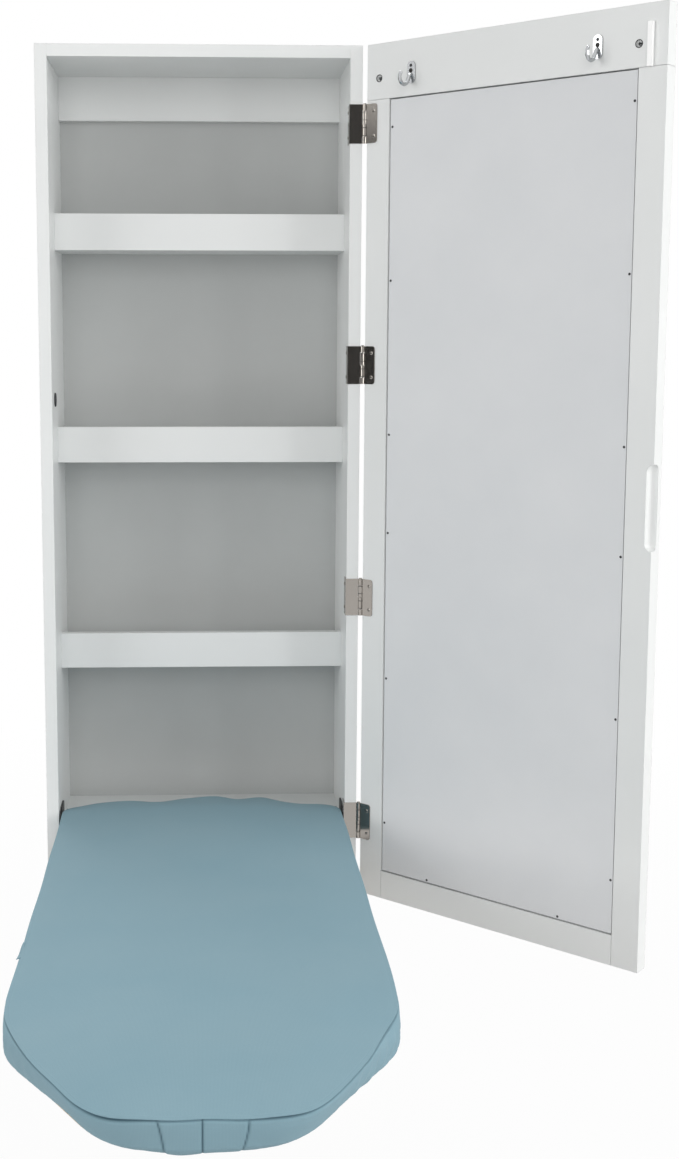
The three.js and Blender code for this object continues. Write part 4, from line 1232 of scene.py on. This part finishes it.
@dataclass
class IroningBoard:
    """The folding board: plywood core, padded cotton cover and its tag.

    Places along the outline are distances from the middle of the nose, to the right. A drop is a
    distance below the edge of the cover's top.

    Attributes:
        wall_reach: Farthest that the solid's wall can lie from the outline.
        cover_band: Height of the cover's band.
        seam_drop: Drop of the seam between top and band.
        corner_draw: How far the band's foot is drawn in at the nose's corners, as in corner_place.
        tucks: How far the cover's edge is tucked in at the shoulders, easing out over tuck_depth.
        room_left: Farthest that cloth may reach to the left, so that the board folds up freely.
        room_right: The same to the right.
        top_power: How flat the top stays before it falls to its edge.
        rim_share: Share of the way from the rim inwards that is left out of the top's net.
        seam_gapes: Where the seam gapes, as a share of its width.
        pleat_half: Half the width of the nose's box pleat, which narrows by pleat_draws.
        shoulder_fullness: How far the stuffed side stands out past the right shoulder.
        hollows: Where the sewn edge lies inside the true outline.
        crease_places: Where the band is creased, with the share of the creases' height.
        tail_waves: Waves of the cloth's edge at the tail, to the left and right of its middle.
        held_rings: First and last of the rings that the padding can't move, near the seam.
        puff_cap: Farthest that the padding may swell the cloth.
    """

    shoulder_setback: float = 172 * MM
    tail_bulge: float = 57 * MM
    tail_half_width: float = 181 * MM
    trace_drop: float = 5.4 * MM
    wall_drops: tuple[float, ...] = tuple(drop * MM for drop in (5.4, 12, 18, 24, 29, 34))
    wall_reach: float = 26 * MM
    wall_smoothing: float = 3.0
    cover_band: float = 35 * MM
    band_step: float = 1.8 * MM
    seam_drop: float = 1.5 * MM
    seam_steps: tuple[float, ...] = tuple(step * MM for step in (0.4, 0.8, 1.2, 1.7, 2.4))
    below_seam: float = 1.4 * MM
    edge_round: float = 4 * MM
    edge_steps: int = 6
    corner_round: float = 3 * MM
    corner_steps: int = 4
    corner_draw: float = 4.5 * MM
    corner_place: Swell = Swell(165 * MM, 80 * MM)
    tucks: tuple[Swell, ...] = (Swell(258 * MM, 46 * MM, 8 * MM), Swell(-264 * MM, 42 * MM, 5 * MM))
    tuck_depth: float = 15 * MM
    hem_width: float = 14 * MM
    hem_lift: float = 2.6 * MM
    core_inset: float = 4.6 * MM
    core_gap: float = 0.3 * MM
    room_left: float = 182.7 * MM
    room_right: float = 184.4 * MM
    crown: float = 4 * MM
    top_power: float = 2.6
    top_sink: float = 0.2 * MM
    grid: float = 7 * MM
    rim_share: float = 0.058
    seam_gapes: tuple[Swell, ...] = (Swell(66 * MM, 24 * MM, 0.9), Swell(-72 * MM, 34 * MM, 1.2))
    stitch_drop: float = 0.9 * MM
    stitch_width: float = 0.55 * MM
    stitch_depth: float = 2.1 * MM
    # Painted shade in the seam's groove, as a share of the full shade colour.
    seam_painted_shade: float = 0.45
    pleat_half: float = 37 * MM
    pleat_draws: tuple[float, float] = (7 * MM, 6 * MM)
    pleat_curves: tuple[float, float] = (0.6, 1.6)
    pleat_edge: float = 0.5 * MM
    pleat_lift: float = 0.9 * MM
    fold_width: float = 0.8 * MM
    fold_depth: float = 1.5 * MM
    # Painted shade in the pleat's folds, as a share of the full shade colour.
    fold_painted_shade: float = 0.85
    pleat_sag: Swell = Swell(-17 * MM, 15 * MM, 2.2 * MM)
    edge_wave: Wave = Wave(0.45 * MM, 9 * MM, 1)
    edge_wave_place: Swell = Swell(0, 150 * MM)
    stuffed_side: tuple[float, float] = (300 * MM, 860 * MM)
    stuffed_ends: tuple[float, float] = (20 * MM, 40 * MM)
    side_fullness: float = 1.3 * MM
    shoulder_fullness: Swell = Swell(382 * MM, 60 * MM, 0.9 * MM)
    hollows: tuple[Swell, ...] = (Swell(-128 * MM, 46 * MM, 2.4 * MM), Swell(118 * MM, 36 * MM, 1.2 * MM))
    side_wave: Wave = Wave(0.35 * MM, 31 * MM)
    side_wave_start: float = 330 * MM
    crease_places: tuple[Swell, ...] = (Swell(222 * MM, 60 * MM), Swell(-240 * MM, 56 * MM, 0.4))
    crease_height: float = 1.25 * MM
    crease_slant: float = 16 * MM
    creases: tuple[Wave, Wave] = (Wave(1, 3.4 * MM), Wave(0.7, 5.1 * MM, 1))
    soft_waves: tuple[Wave, ...] = (Wave(0.35 * MM, 23 * MM), Wave(0.25 * MM, 11 * MM, 2))
    gathers: Wave = Wave(0.35 * MM, 1.9 * MM)
    gathers_start: float = 50 * MM
    tail_waves: tuple[Swell, ...] = (
        Swell(-58 * MM, 27 * MM, -15),
        Swell(14 * MM, 20 * MM, 8),
        Swell(46 * MM, 14 * MM, -7),
        Swell(80 * MM, 14 * MM, 7),
        Swell(126 * MM, 32 * MM, -15),
        Swell(-160 * MM, 16 * MM, -4),
    )
    tail_wave_fade: float = 26 * MM
    tail_wave_start: float = 40 * MM
    tail_wave_out: float = 0.45 * MM
    tail_wave_up: float = 0.17 * MM
    held_rings: tuple[int, int] = (5, 11)
    puff_frames: int = 20
    puff_cap: float = 2.6 * MM
    pressure: float = 4.0
    bottom: float = field(init=False)
    top: float = field(init=False)
    surface: BVHTree = field(init=False)
    outline: BoardOutline = field(init=False)

    def build(self, finishes: Finishes) -> None:
        """Dress the core and make the cover.

        Args:
            finishes: The cabinet's finishes.
        """
        dress(finishes.plywood, "board_core")
        low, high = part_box("board_cover")
        self.bottom = low.z
        self.top = high.z - self.crown
        bm = bmesh.new()
        bm.from_mesh(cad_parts["board_cover"].data)
        self.surface = BVHTree.FromBMesh(bm)
        bm.free()
        self.outline = BoardOutline(
            low.y + self.shoulder_setback,
            high.y - self.tail_bulge,
            self.top - self.trace_drop,
            self.surface,
        )
        cover = self._cover(finishes)
        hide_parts("board_cover", "foam_pad")
        CoverTag().build(finishes, self)

    def _wall(self, drops: np.ndarray) -> np.ndarray:
        """Give how far the solid's wall lies outside the outline at each drop and station.

        Args:
            drops: Distances below the top's edge.

        Returns:
            One row for each drop.
        """
        rows = []
        for drop in self.wall_drops:
            row = []
            for (x, y), (nx, ny) in zip(self.outline.points, self.outline.normals):
                out = Vector((nx, ny, 0))
                spot = Vector((x, y, self.top - drop))
                hit = self.surface.ray_cast(spot + out * 0.1, -out)[0]
                row.append(np.nan if hit is None else (hit - spot).dot(out))
            found = np.array(row)
            missing = np.isnan(found) | (np.abs(found) > self.wall_reach)
            index = np.arange(len(found))
            found[missing] = np.interp(index[missing], index[~missing], found[~missing])
            drawn = self.corner_draw * (drop / self.cover_band) ** 2
            drawn = drawn * self.corner_place.at(np.abs(self.outline.arc))
            rows.append(smooth_round(found, self.wall_smoothing) - drawn)
        columns = np.array(rows).T
        return np.array([[np.interp(drop, self.wall_drops, column) for column in columns] for drop in drops])

    def _profile(self) -> tuple[np.ndarray, np.ndarray]:
        """Give the drop and the inset of each ring, from the rim down to the band's lower corner."""
        edge_turns = [math.pi / 2 * i / self.edge_steps for i in range(self.edge_steps + 1)]
        rings = [
            (self.seam_drop * (1 - math.cos(a)), self.edge_round * (1 - math.sin(a))) for a in edge_turns
        ]
        seam_rows = [self.seam_drop + step for step in self.seam_steps]
        band_start = seam_rows[-1] + self.below_seam
        fold = self.corner_round
        band_rows = np.arange(band_start, self.cover_band - fold - 1 * MM, self.band_step)
        rings += [(drop, 0.0) for drop in (*seam_rows, *band_rows)]
        corner_turns = [math.pi / 2 * i / self.corner_steps for i in range(self.corner_steps + 1)]
        rings += [
            (self.cover_band - fold + fold * math.sin(a), fold * (1 - math.cos(a))) for a in corner_turns
        ]
        drops, insets = np.array(rings).T
        return drops, insets

    def _ring(self, offset: np.ndarray, height: float) -> np.ndarray:
        """Give a ring of places that follows the outline at an offset and a height."""
        plan = self.outline.points + self.outline.normals * offset[:, None]
        return np.column_stack([plan, np.full(len(plan), height)])

    def _cover(self, finishes: Finishes) -> bpy.types.Object:
        """Make the padded cover: a crowned top, a band that is seamed to it and a hem turned under.

        Args:
            finishes: The cabinet's finishes.

        Returns:
            The cover's object.
        """
        outline = self.outline
        drops, insets = self._profile()
        wall = self._wall(drops)
        outline.points += outline.normals * self._slack(outline.arc)[:, None]
        tuck = total(self.tucks, outline.arc)
        rings = []
        for drop, inset, row in zip(drops, insets, wall):
            under = min(1.0, max(0.0, (drop - self.seam_drop) / self.tuck_depth))
            offset = row - inset - tuck * (1 - under * (2 - under))
            rings.append(self._ring(offset, self.top - drop))
        hem_top = self.bottom + self.hem_lift
        foot = wall[-1]
        rings.append(self._ring(foot - self.hem_width, self.bottom))
        rings.append(self._ring(foot - self.hem_width, hem_top))
        rings.append(self._ring(foot - self.core_inset, hem_top))
        core_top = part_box("board_core")[1].z
        rings.append(self._ring(np.full(len(foot), -self.core_inset), core_top + self.core_gap))
        loops = np.array(rings)
        top, triangles = self._top(loops[0])
        mesh = self._join(loops, top, triangles)
        self._puff(mesh, len(loops), len(foot), len(drops))
        self._sew(mesh, drops)
        cover = add_piece("padded_cover", mesh, finishes.cotton, "ironing_board")
        for face in mesh.polygons:
            face.use_smooth = True
        finer = cover.modifiers.new("finer", "SUBSURF")
        finer.levels = 1
        finer.render_levels = 1
        return cover

    def _top(self, rim: np.ndarray) -> tuple[np.ndarray, list[tuple[int, int, int]]]:
        """Fill the top inside its rim with an even net.

        Args:
            rim: The rim's places.

        Returns:
            The places inside the rim, and triangles over the rim's places followed by these.
        """
        low, high = rim[:, :2].min(0), rim[:, :2].max(0)
        row_step = self.grid * math.sqrt(3) / 2
        inside = []
        for k, y in enumerate(np.arange(low[1], high[1], row_step)):
            start = low[0] + (k % 2) * self.grid / 2
            inside += [(x, y) for x in np.arange(start, high[0], self.grid)]
        places = np.array(inside)
        places = places[self.outline.share(places) < 1 - self.rim_share]
        flat = [Vector(p) for p in rim[:, :2]] + [Vector(p) for p in places]
        loop = [list(range(len(rim)))]
        nearly_same = 1e-7
        found = delaunay_2d_cdt(flat, [], loop, 1, nearly_same)
        faces = [tuple(f) for f in found[2]]
        share = np.minimum(self.outline.share(places), 1)
        height = self.top + self.crown * (1 - share ** self.top_power) - self.top_sink
        return np.column_stack([places, height]), faces

    def _join(self, loops: np.ndarray, top: np.ndarray, triangles: list) -> bpy.types.Mesh:
        """Join the rings and the top into one closed mesh with a map in metres of cloth.

        Args:
            loops: Rings from the rim down and round the hem to the core's top.
            top: Places inside the rim.
            triangles: Triangles of the top.

        Returns:
            The mesh.
        """
        ring_count, count = loops.shape[:2]
        shape = np.vstack([loops.reshape(-1, 3), top])
        shift = (ring_count - 1) * count
        faces = [tuple(i if i < count else i + shift for i in triangle) for triangle in triangles]
        for start in range(0, shift, count):
            for i in range(count):
                near, far = start + i, start + (i + 1) % count
                faces.append((near, near + count, far + count, far))
        faces.append(tuple(range(shift, shift + count)))
        mesh = bpy.data.meshes.new("padded_cover")
        mesh.from_pydata(shape.tolist(), [], faces)
        bm = bmesh.new()
        bm.from_mesh(mesh)
        bmesh.ops.recalc_face_normals(bm, faces=bm.faces)
        bmesh.ops.triangulate(bm, faces=[f for f in bm.faces if len(f.verts) > 4])
        bm.to_mesh(mesh)
        bm.free()
        self._map(mesh, loops)
        return mesh

    def _map(self, mesh: bpy.types.Mesh, loops: np.ndarray) -> None:
        """Map the cloth in metres: the top flat, the band by its length and height.

        Args:
            mesh: The cover's mesh.
            loops: Its rings.
        """
        ring_count, count = loops.shape[:2]
        down = np.linalg.norm(np.diff(loops[:, 0], axis=0), axis=1)
        depth = np.concatenate([[0], np.cumsum(down)])
        arc = np.mod(self.outline.arc, self.outline.length)
        layer = mesh.uv_layers.new(name="cloth")
        for face in mesh.polygons:
            verts = [mesh.loops[k].vertex_index for k in face.loop_indices]
            on_band = len(verts) == 4 and max(verts) < ring_count * count
            seam = on_band and max(v % count for v in verts) - min(v % count for v in verts) > 1
            for k, v in zip(face.loop_indices, verts):
                if not on_band:
                    layer.data[k].uv = mesh.vertices[v].co.xy
                    continue
                along = arc[v % count]
                if seam and v % count == 0:
                    along += self.outline.length
                layer.data[k].uv = (along, depth[v // count])

    def _puff(self, mesh: bpy.types.Mesh, ring_count: int, count: int, outer: int) -> None:
        """Let the padding swell the cloth between its held edges.

        Args:
            mesh: The cover's mesh, which is changed.
            ring_count: Number of rings.
            count: Number of stations in a ring.
            outer: Number of rings that show from the side.
        """
        cloth = bpy.data.objects.new("cover_cloth", mesh)
        bpy.context.scene.collection.objects.link(cloth)
        held = cloth.vertex_groups.new(name="held")
        lower_corner = outer - self.corner_steps - 1
        for first, end in ((lower_corner, ring_count), self.held_rings):
            held.add(list(range(first * count, end * count)), 1.0, "REPLACE")
        before = np.array([v.co for v in mesh.vertices])
        fabric = cloth.modifiers.new("cloth", "CLOTH")
        fabric.settings.vertex_group_mass = "held"
        fabric.settings.effector_weights.gravity = 0
        fabric.settings.use_pressure = True
        fabric.settings.uniform_pressure_force = self.pressure
        fabric.settings.tension_stiffness = 25
        fabric.settings.compression_stiffness = 25
        fabric.settings.bending_stiffness = 1.5
        fabric.settings.quality = 5
        fabric.collision_settings.use_collision = False
        fabric.point_cache.frame_start = 1
        fabric.point_cache.frame_end = self.puff_frames
        scene = bpy.context.scene
        for number in range(1, self.puff_frames + 1):
            scene.frame_set(number)
        shown = cloth.evaluated_get(bpy.context.evaluated_depsgraph_get())
        swollen = np.array([v.co for v in shown.data.vertices])
        scene.frame_set(1)
        move = swollen - before
        reach = np.linalg.norm(move, axis=1, keepdims=True)
        log.info("cover swells by %.1f mm at most before the cap", reach.max() / MM)
        still = 1e-9
        capped = before + move * np.minimum(1, self.puff_cap / np.maximum(reach, still))
        bpy.data.objects.remove(cloth)
        mesh.vertices.foreach_set("co", capped.ravel())
        mesh.update()

    def _sew(self, mesh: bpy.types.Mesh, drops: np.ndarray) -> None:
        """Press in the seam under the top's edge, the pleat at the nose and the band's creases, and paint
        shade into the seam's groove and the pleat's folds.

        Args:
            mesh: The cover's mesh, which is changed.
            drops: Drop of each of the rings that show from the side.
        """
        arc = self.outline.arc
        count = len(arc)
        normals = np.column_stack([self.outline.normals, np.zeros(count)])
        gape = 1 + total(self.seam_gapes, arc)
        edge_wave = self.edge_wave.at(arc) * self.edge_wave_place.at(arc)
        shape = np.array([v.co for v in mesh.vertices])
        painted_seam_shade = np.zeros(len(shape))
        for ring, drop in enumerate(drops):
            mine = slice(ring * count, (ring + 1) * count)
            lean = max(0.0, (drop - self.seam_drop) / (self.cover_band - self.seam_drop))
            stitch = (drop - self.seam_drop - self.stitch_drop) / (self.stitch_width * gape)
            seam = np.exp(-(stitch ** 2))
            left, right = (
                self.pleat_half - draw * lean ** curve
                for draw, curve in zip(self.pleat_draws, self.pleat_curves)
            )
            on_band = 1.0 if lean > 0.02 else 0.0
            patch = step_up(arc, -left, self.pleat_edge) * step_up(-arc, -right, self.pleat_edge)
            folds = total([Swell(place, self.fold_width) for place in (-left, 0.0, right)], arc)
            push = self.pleat_lift * patch - self.fold_depth * folds + self._creases(arc, lean)
            push = on_band * push - self.stitch_depth * seam
            shape[mine] += normals * push[:, None]
            shape[mine, 2] -= self.pleat_sag.at(arc) * lean ** 3
            shape[mine, 2] += edge_wave * (lean < 0.2)
            # Painted shade: darken the pleat's folds and the seam's groove through the pressed attribute.
            fold_painted_shade = on_band * self.fold_painted_shade * np.minimum(1, folds)
            painted_seam_shade[mine] = np.maximum(seam * np.minimum(1, self.seam_painted_shade * gape), fold_painted_shade)
        shape = self._ripple(shape)
        shape[:, 0] = np.clip(shape[:, 0], -self.room_left, self.room_right)
        mesh.vertices.foreach_set("co", shape.ravel())
        shade = mesh.attributes.new("painted_seam_shade", "FLOAT", "POINT")
        shade.data.foreach_set("value", painted_seam_shade)
        mesh.update()

    def _slack(self, arc: np.ndarray) -> np.ndarray:
        """Give how far the sewn cover's outline strays from a true one.

        Args:
            arc: Distance of each station from the middle of the nose, to the right.

        Returns:
            Outward distance for each station.
        """
        (start, end), (rise, fall) = self.stuffed_side, self.stuffed_ends
        side = step_up(arc, start, rise) * step_up(-arc, -end, fall)
        full = (self.side_fullness + self.shoulder_fullness.at(arc)) * side
        waves = self.side_wave.at(arc) * (np.abs(arc) > self.side_wave_start)
        return full - total(self.hollows, arc) + waves

    def _ripple(self, shape: np.ndarray) -> np.ndarray:
        """Let the cloth's edge ripple at the tail, where nothing stretches it.

        Args:
            shape: The cover's places.

        Returns:
            The places, rippled.
        """
        x, y, z = shape.T
        bulge = np.sqrt(np.clip(1 - (x / self.tail_half_width) ** 2, 0, 1))
        edge = self.outline.tail + self.tail_bulge * bulge
        near = np.exp(-np.clip(edge - y, 0, None) / self.tail_wave_fade)
        near *= y > self.outline.tail - self.tail_wave_start
        high = np.clip((z - self.bottom) / self.cover_band, 0, 1)
        waves = total(self.tail_waves, x) * near * high
        rippled = shape.copy()
        rippled[:, 1] += self.tail_wave_out * waves
        rippled[:, 2] += self.tail_wave_up * waves
        return rippled

    def _creases(self, arc: np.ndarray, lean: float) -> np.ndarray:
        """Give the band's soft creases at one height.

        Args:
            arc: Distance of each station from the middle of the nose.
            lean: Share of the way down the band.

        Returns:
            Outward height of the creases.
        """
        hollow = math.sin(math.pi * min(1.0, max(0.0, lean)))
        slant = self.crease_slant * lean
        rising, falling = self.creases
        crossed = rising.at(arc + slant) + falling.at(arc - slant)
        creased = self.crease_height * total(self.crease_places, arc) * crossed
        gathers = self.gathers.at(arc) * lean ** 3 * (np.abs(arc) > self.gathers_start)
        return hollow * (creased + total(self.soft_waves, arc)) + gathers


@dataclass
class CoverTag:
    """The small blank folded tag that is caught in the cover's seam on the left.

    Attributes:
        place: Where it is on the board's outline.
        reach: How far it would stand out if it had the room.
        thin: Share of its thickness that it loses towards its tip.
        near_reach: Share of its reach that it has at its front end.
        room_gap: What is left between its tip and the cover's room.
    """

    place: float = -458 * MM
    width: float = 46 * MM
    reach: float = 6.5 * MM
    thickness: float = 0.9 * MM
    thin: float = 0.4
    droop: float = 1.2 * MM
    root_depth: float = 1.5 * MM
    wave_height: float = 0.8 * MM
    half_waves: float = 2.3
    near_reach: float = 0.55
    room_gap: float = 0.3 * MM
    rows: int = 7
    columns: int = 16

    def build(self, finishes: Finishes, board: IroningBoard) -> None:
        """Add the tag.

        Args:
            finishes: The cabinet's finishes.
            board: The board whose cover has the tag.
        """
        outline = board.outline
        station = int(np.argmin(np.abs(outline.arc - self.place)))
        x, y = outline.points[station]
        nx, ny = outline.normals[station]
        out = Vector((nx, ny, 0))
        along = Vector((-ny, nx, 0))
        base = Vector((x, y, board.top - board.seam_drop)) - out * self.root_depth
        profile = self._profile()
        bm = bmesh.new()
        grid = []
        for share in (c / self.columns for c in range(self.columns + 1)):
            middle = base + along * (self.width * (share - 0.5))
            lift = self.wave_height * math.sin(self.half_waves * math.pi * share)
            far = self.near_reach + (1 - self.near_reach) * share
            grid.append([bm.verts.new(middle + out * a * far + UP * (b + lift)) for a, b in profile])
        for first, second in zip(grid, grid[1:]):
            for i in range(len(profile)):
                j = (i + 1) % len(profile)
                bm.faces.new((first[i], first[j], second[j], second[i]))
        bm.faces.new(grid[0][::-1])
        bm.faces.new(grid[-1])
        room = board.room_right - self.room_gap
        tip = min(v.co.x for v in bm.verts)
        if tip < -room:
            for vertex in bm.verts:
                vertex.co.x = base.x + (vertex.co.x - base.x) * (-room - base.x) / (tip - base.x)
        bmesh.ops.recalc_face_normals(bm, faces=bm.faces)
        mesh = mesh_of(bm, "cover_tag")
        layer = mesh.uv_layers.new(name="cloth")
        for k, loop in enumerate(mesh.loops):
            layer.data[k].uv = mesh.vertices[loop.vertex_index].co.yz
        smooth_faces(mesh, math.radians(60))
        add_piece("cover_tag", mesh, finishes.cotton, "ironing_board")

    def _profile(self) -> list[tuple[float, float]]:
        """Give the tag's section, out along its upper face and back along its lower one."""
        shares = [i / (self.rows - 1) for i in range(self.rows)]
        half = self.thickness / 2
        upper = [(t * self.reach, half * (1 - self.thin * t) - self.droop * t ** 2) for t in shares]
        lower = [(t * self.reach, -half * (1 - self.thin * t) - self.droop * t ** 2) for t in shares]
        return upper + lower[::-1]


# --- linkage -----------------------------------------------------------------------------------


class Linkage:
    """The pivots at the board's tail and the folding leg under it."""

    def build(self, finishes: Finishes) -> None:
        """Dress the arms, brackets, pins, leg and foot.

        Args:
            finishes: The cabinet's finishes.
        """
        for side in Side:
            dress(finishes.black_coat_and_shade, f"pivot_arm_{side.word}", f"pivot_bracket_{side.word}")
            dress(finishes.zinc, f"pivot_pin_{side.word}", f"leg_bracket_{side.word}")
            dress(finishes.zinc, f"leg_pin_{side.word}")
        dress(finishes.silver_coat, "support_leg")
        dress(finishes.rubber, "foot_sleeve")


# --- studio ------------------------------------------------------------------------------------


@dataclass(frozen=True)
class SoftBox:
    """A large square lamp with a diffuser."""

    name: str
    place: tuple[float, float, float]
    size: float
    power: float
    aim: tuple[float, float, float] = (0.05, -0.35, 0.0)

    def build(self) -> None:
        """Hang the lamp and aim it."""
        lamp = bpy.data.lights.new(self.name, "AREA")
        lamp.shape = "SQUARE"
        lamp.size = self.size
        lamp.energy = self.power
        holder = bpy.data.objects.new(self.name, lamp)
        holder.location = self.place
        towards = Vector(self.aim) - Vector(self.place)
        holder.rotation_euler = towards.to_track_quat("-Z", "Y").to_euler()
        bpy.context.scene.collection.objects.link(holder)


@dataclass
class Studio:
    """A plain pale floor, soft light from all round and the camera at the photograph's angle.

    Attributes:
        ambient: Strength of the light from all round.
        floor_drop: Distance from the cabinet's foot down to the floor.
        shaded_reach: Distance from the middle within which the floor's shading shows most.
        clear_reach: Distance beyond which the floor is plain white.
        shaded_glow: Share of plain white in the floor near the middle.
        lamps: The soft boxes, all aimed at the middle of the scene.
        flags: Name, start and end in plan, and lower and upper edge of each flag.
    """

    ambient: float = 0.36
    floor_drop: float = 0.42
    floor_size: float = 60.0
    shaded_reach: float = 0.6
    clear_reach: float = 2.6
    shaded_glow: float = 0.93
    lamps: tuple[SoftBox, ...] = (
        SoftBox("left_softbox", (-3.1, -2.02, 0.5), 2.0, 42),
        SoftBox("right_softbox", (3.14, -2.13, 0.5), 2.0, 64),
        SoftBox("high_softbox", (1.77, -2.4, 2.41), 2.0, 16),
        SoftBox("front_softbox", (-0.1, -3.8, 0.75), 1.6, 24),
        SoftBox("top_softbox", (0.05, 0.55, 3.4), 2.0, 54),
        SoftBox("rear_softbox", (-0.9, 3.2, 0.9), 2.4, 40),
    )
    flags: tuple[tuple, ...] = (
        ("front_flag", (-1.0, -3.1), (1.3, -3.1), -0.3, 2.0),
        ("left_flag", (-2.1, -1.7), (-2.3, 0.1), -0.25, 0.77),
    )
    frame_width: int = 679
    frame_height: int = 1159
    focal_pixels: float = 1576.1
    principal_point: tuple[float, float] = (260.0, 545.0)
    camera_place: tuple[float, float, float] = (0.0028, -2.1554, 0.1848)
    pitch_degrees: float = 7.56
    yaw_degrees: float = 2.08
    roll_degrees: float = -0.05

    def build(self) -> None:
        """Make the floor, the world, the lamps and the camera."""
        self._floor()
        self._world()
        for lamp in self.lamps:
            lamp.build()
        self._flag()
        self._camera()
        bpy.context.scene.view_settings.view_transform = "Standard"

    def _seen(self, tree: bpy.types.NodeTree) -> bpy.types.NodeSocket:
        """Give 1 for rays from the camera, a reflection or through glass, and 0 for light.

        Args:
            tree: The node tree.

        Returns:
            The socket with the value.
        """
        path = add_node(tree, "LightPath")
        first = add_node(
            tree,
            "Math",
            {"operation": "MAXIMUM"},
            {0: path.outputs["Is Camera Ray"], 1: path.outputs["Is Glossy Ray"]},
        )
        both = add_node(
            tree,
            "Math",
            {"operation": "MAXIMUM"},
            {0: first.outputs["Value"], 1: path.outputs["Is Transmission Ray"]},
        )
        return both.outputs["Value"]

    def _floor(self) -> None:
        """Lay the floor some way under the cabinet, which hangs on a wall."""
        half = self.floor_size / 2
        level = CAD_BOX[0].z - self.floor_drop
        mesh = bpy.data.meshes.new("floor")
        mesh.from_pydata(
            [(-half, -half, level), (half, -half, level), (half, half, level), (-half, half, level)],
            [],
            [(0, 1, 2, 3)],
        )
        floor = bpy.data.objects.new("floor", mesh)
        bpy.context.scene.collection.objects.link(floor)
        material = bpy.data.materials.new("pale_floor")
        material.use_nodes = True
        tree = material.node_tree
        tree.nodes.clear()
        paint = add_node(tree, "BsdfDiffuse", {"Color": linear("#CECECE")})
        glow = add_node(tree, "Emission", {"Color": linear("#FFFFFF"), "Strength": 1.0})
        spot = add_node(tree, "TexCoord")
        away = add_node(tree, "VectorMath", {"operation": "LENGTH"}, {0: spot.outputs["Object"]})
        clear = add_node(
            tree,
            "MapRange",
            {
                "From Min": self.shaded_reach,
                "From Max": self.clear_reach,
                "To Min": self.shaded_glow,
                "To Max": 1.0,
            },
            {"Value": away.outputs["Value"]},
        )
        share = add_node(
            tree, "Math", {"operation": "MULTIPLY"}, {0: self._seen(tree), 1: clear.outputs["Result"]}
        )
        mix = add_node(
            tree,
            "MixShader",
            {},
            {0: share.outputs["Value"], 1: paint.outputs["BSDF"], 2: glow.outputs["Emission"]},
        )
        add_node(tree, "OutputMaterial", {}, {"Surface": mix.outputs["Shader"]})
        mesh.materials.append(material)

    def _flag(self) -> None:
        """Hang black flags at the front and left, so that bright metal has something dark to mirror."""
        material = bpy.data.materials.new("black_felt")
        material.use_nodes = True
        felt = material.node_tree.nodes["Principled BSDF"]
        felt.inputs["Base Color"].default_value = linear("#040404")
        felt.inputs["Specular IOR Level"].default_value = 0.0
        for name, start, end, low, high in self.flags:
            mesh = bpy.data.meshes.new(name)
            edge = [(*start, low), (*end, low), (*end, high), (*start, high)]
            mesh.from_pydata(edge, [], [(0, 1, 2, 3)])
            mesh.materials.append(material)
            flag = bpy.data.objects.new(name, mesh)
            bpy.context.scene.collection.objects.link(flag)
            flag.visible_camera = False
            flag.visible_diffuse = False
            flag.visible_transmission = False
            flag.visible_shadow = False

    def _world(self) -> None:
        """Surround the cabinet with soft light on a white background."""
        world = bpy.data.worlds.new("studio")
        bpy.context.scene.world = world
        world.use_nodes = True
        tree = world.node_tree
        tree.nodes.clear()
        soft = add_node(tree, "Background", {"Color": (1, 1, 1, 1), "Strength": self.ambient})
        white = add_node(tree, "Background", {"Color": (1, 1, 1, 1), "Strength": 1.0})
        mix = add_node(
            tree,
            "MixShader",
            {},
            {0: self._seen(tree), 1: soft.outputs["Background"], 2: white.outputs["Background"]},
        )
        add_node(tree, "OutputWorld", {}, {"Surface": mix.outputs["Shader"]})

    def _camera(self) -> None:
        """Set the camera where the straight edges of the cabinet say it stood."""
        data = bpy.data.cameras.new("camera")
        long_side = max(self.frame_width, self.frame_height)
        data.sensor_width = 36.0
        data.lens = self.focal_pixels / long_side * data.sensor_width
        data.shift_x = (self.frame_width / 2 - self.principal_point[0]) / long_side
        data.shift_y = (self.principal_point[1] - self.frame_height / 2) / long_side
        data.clip_start = 0.05
        data.clip_end = 200
        camera = bpy.data.objects.new("camera", data)
        pitch, yaw, roll = map(math.radians, (self.pitch_degrees, self.yaw_degrees, self.roll_degrees))
        ahead = Vector((
            math.sin(yaw) * math.cos(pitch),
            math.cos(yaw) * math.cos(pitch),
            -math.sin(pitch),
        ))
        level = Vector((math.cos(yaw), -math.sin(yaw), 0))
        down = ahead.cross(level)
        right = math.cos(roll) * level + math.sin(roll) * down
        above = right.cross(ahead)
        turn = Matrix((right, above, -ahead)).transposed()
        camera.matrix_world = Matrix.Translation(self.camera_place) @ turn.to_4x4()
        bpy.context.scene.collection.objects.link(camera)
        bpy.context.scene.camera = camera


def main() -> None:
    """Dress and build the cabinet, part by part."""
    Studio().build()
    finishes = Finishes()
    Carcass().build(finishes)
    door = Door()
    door.build(finishes)
    Hinges().build(finishes, door)
    IroningBoard().build(finishes)
    Linkage().build(finishes)


if __name__ == "__main__":
    main()
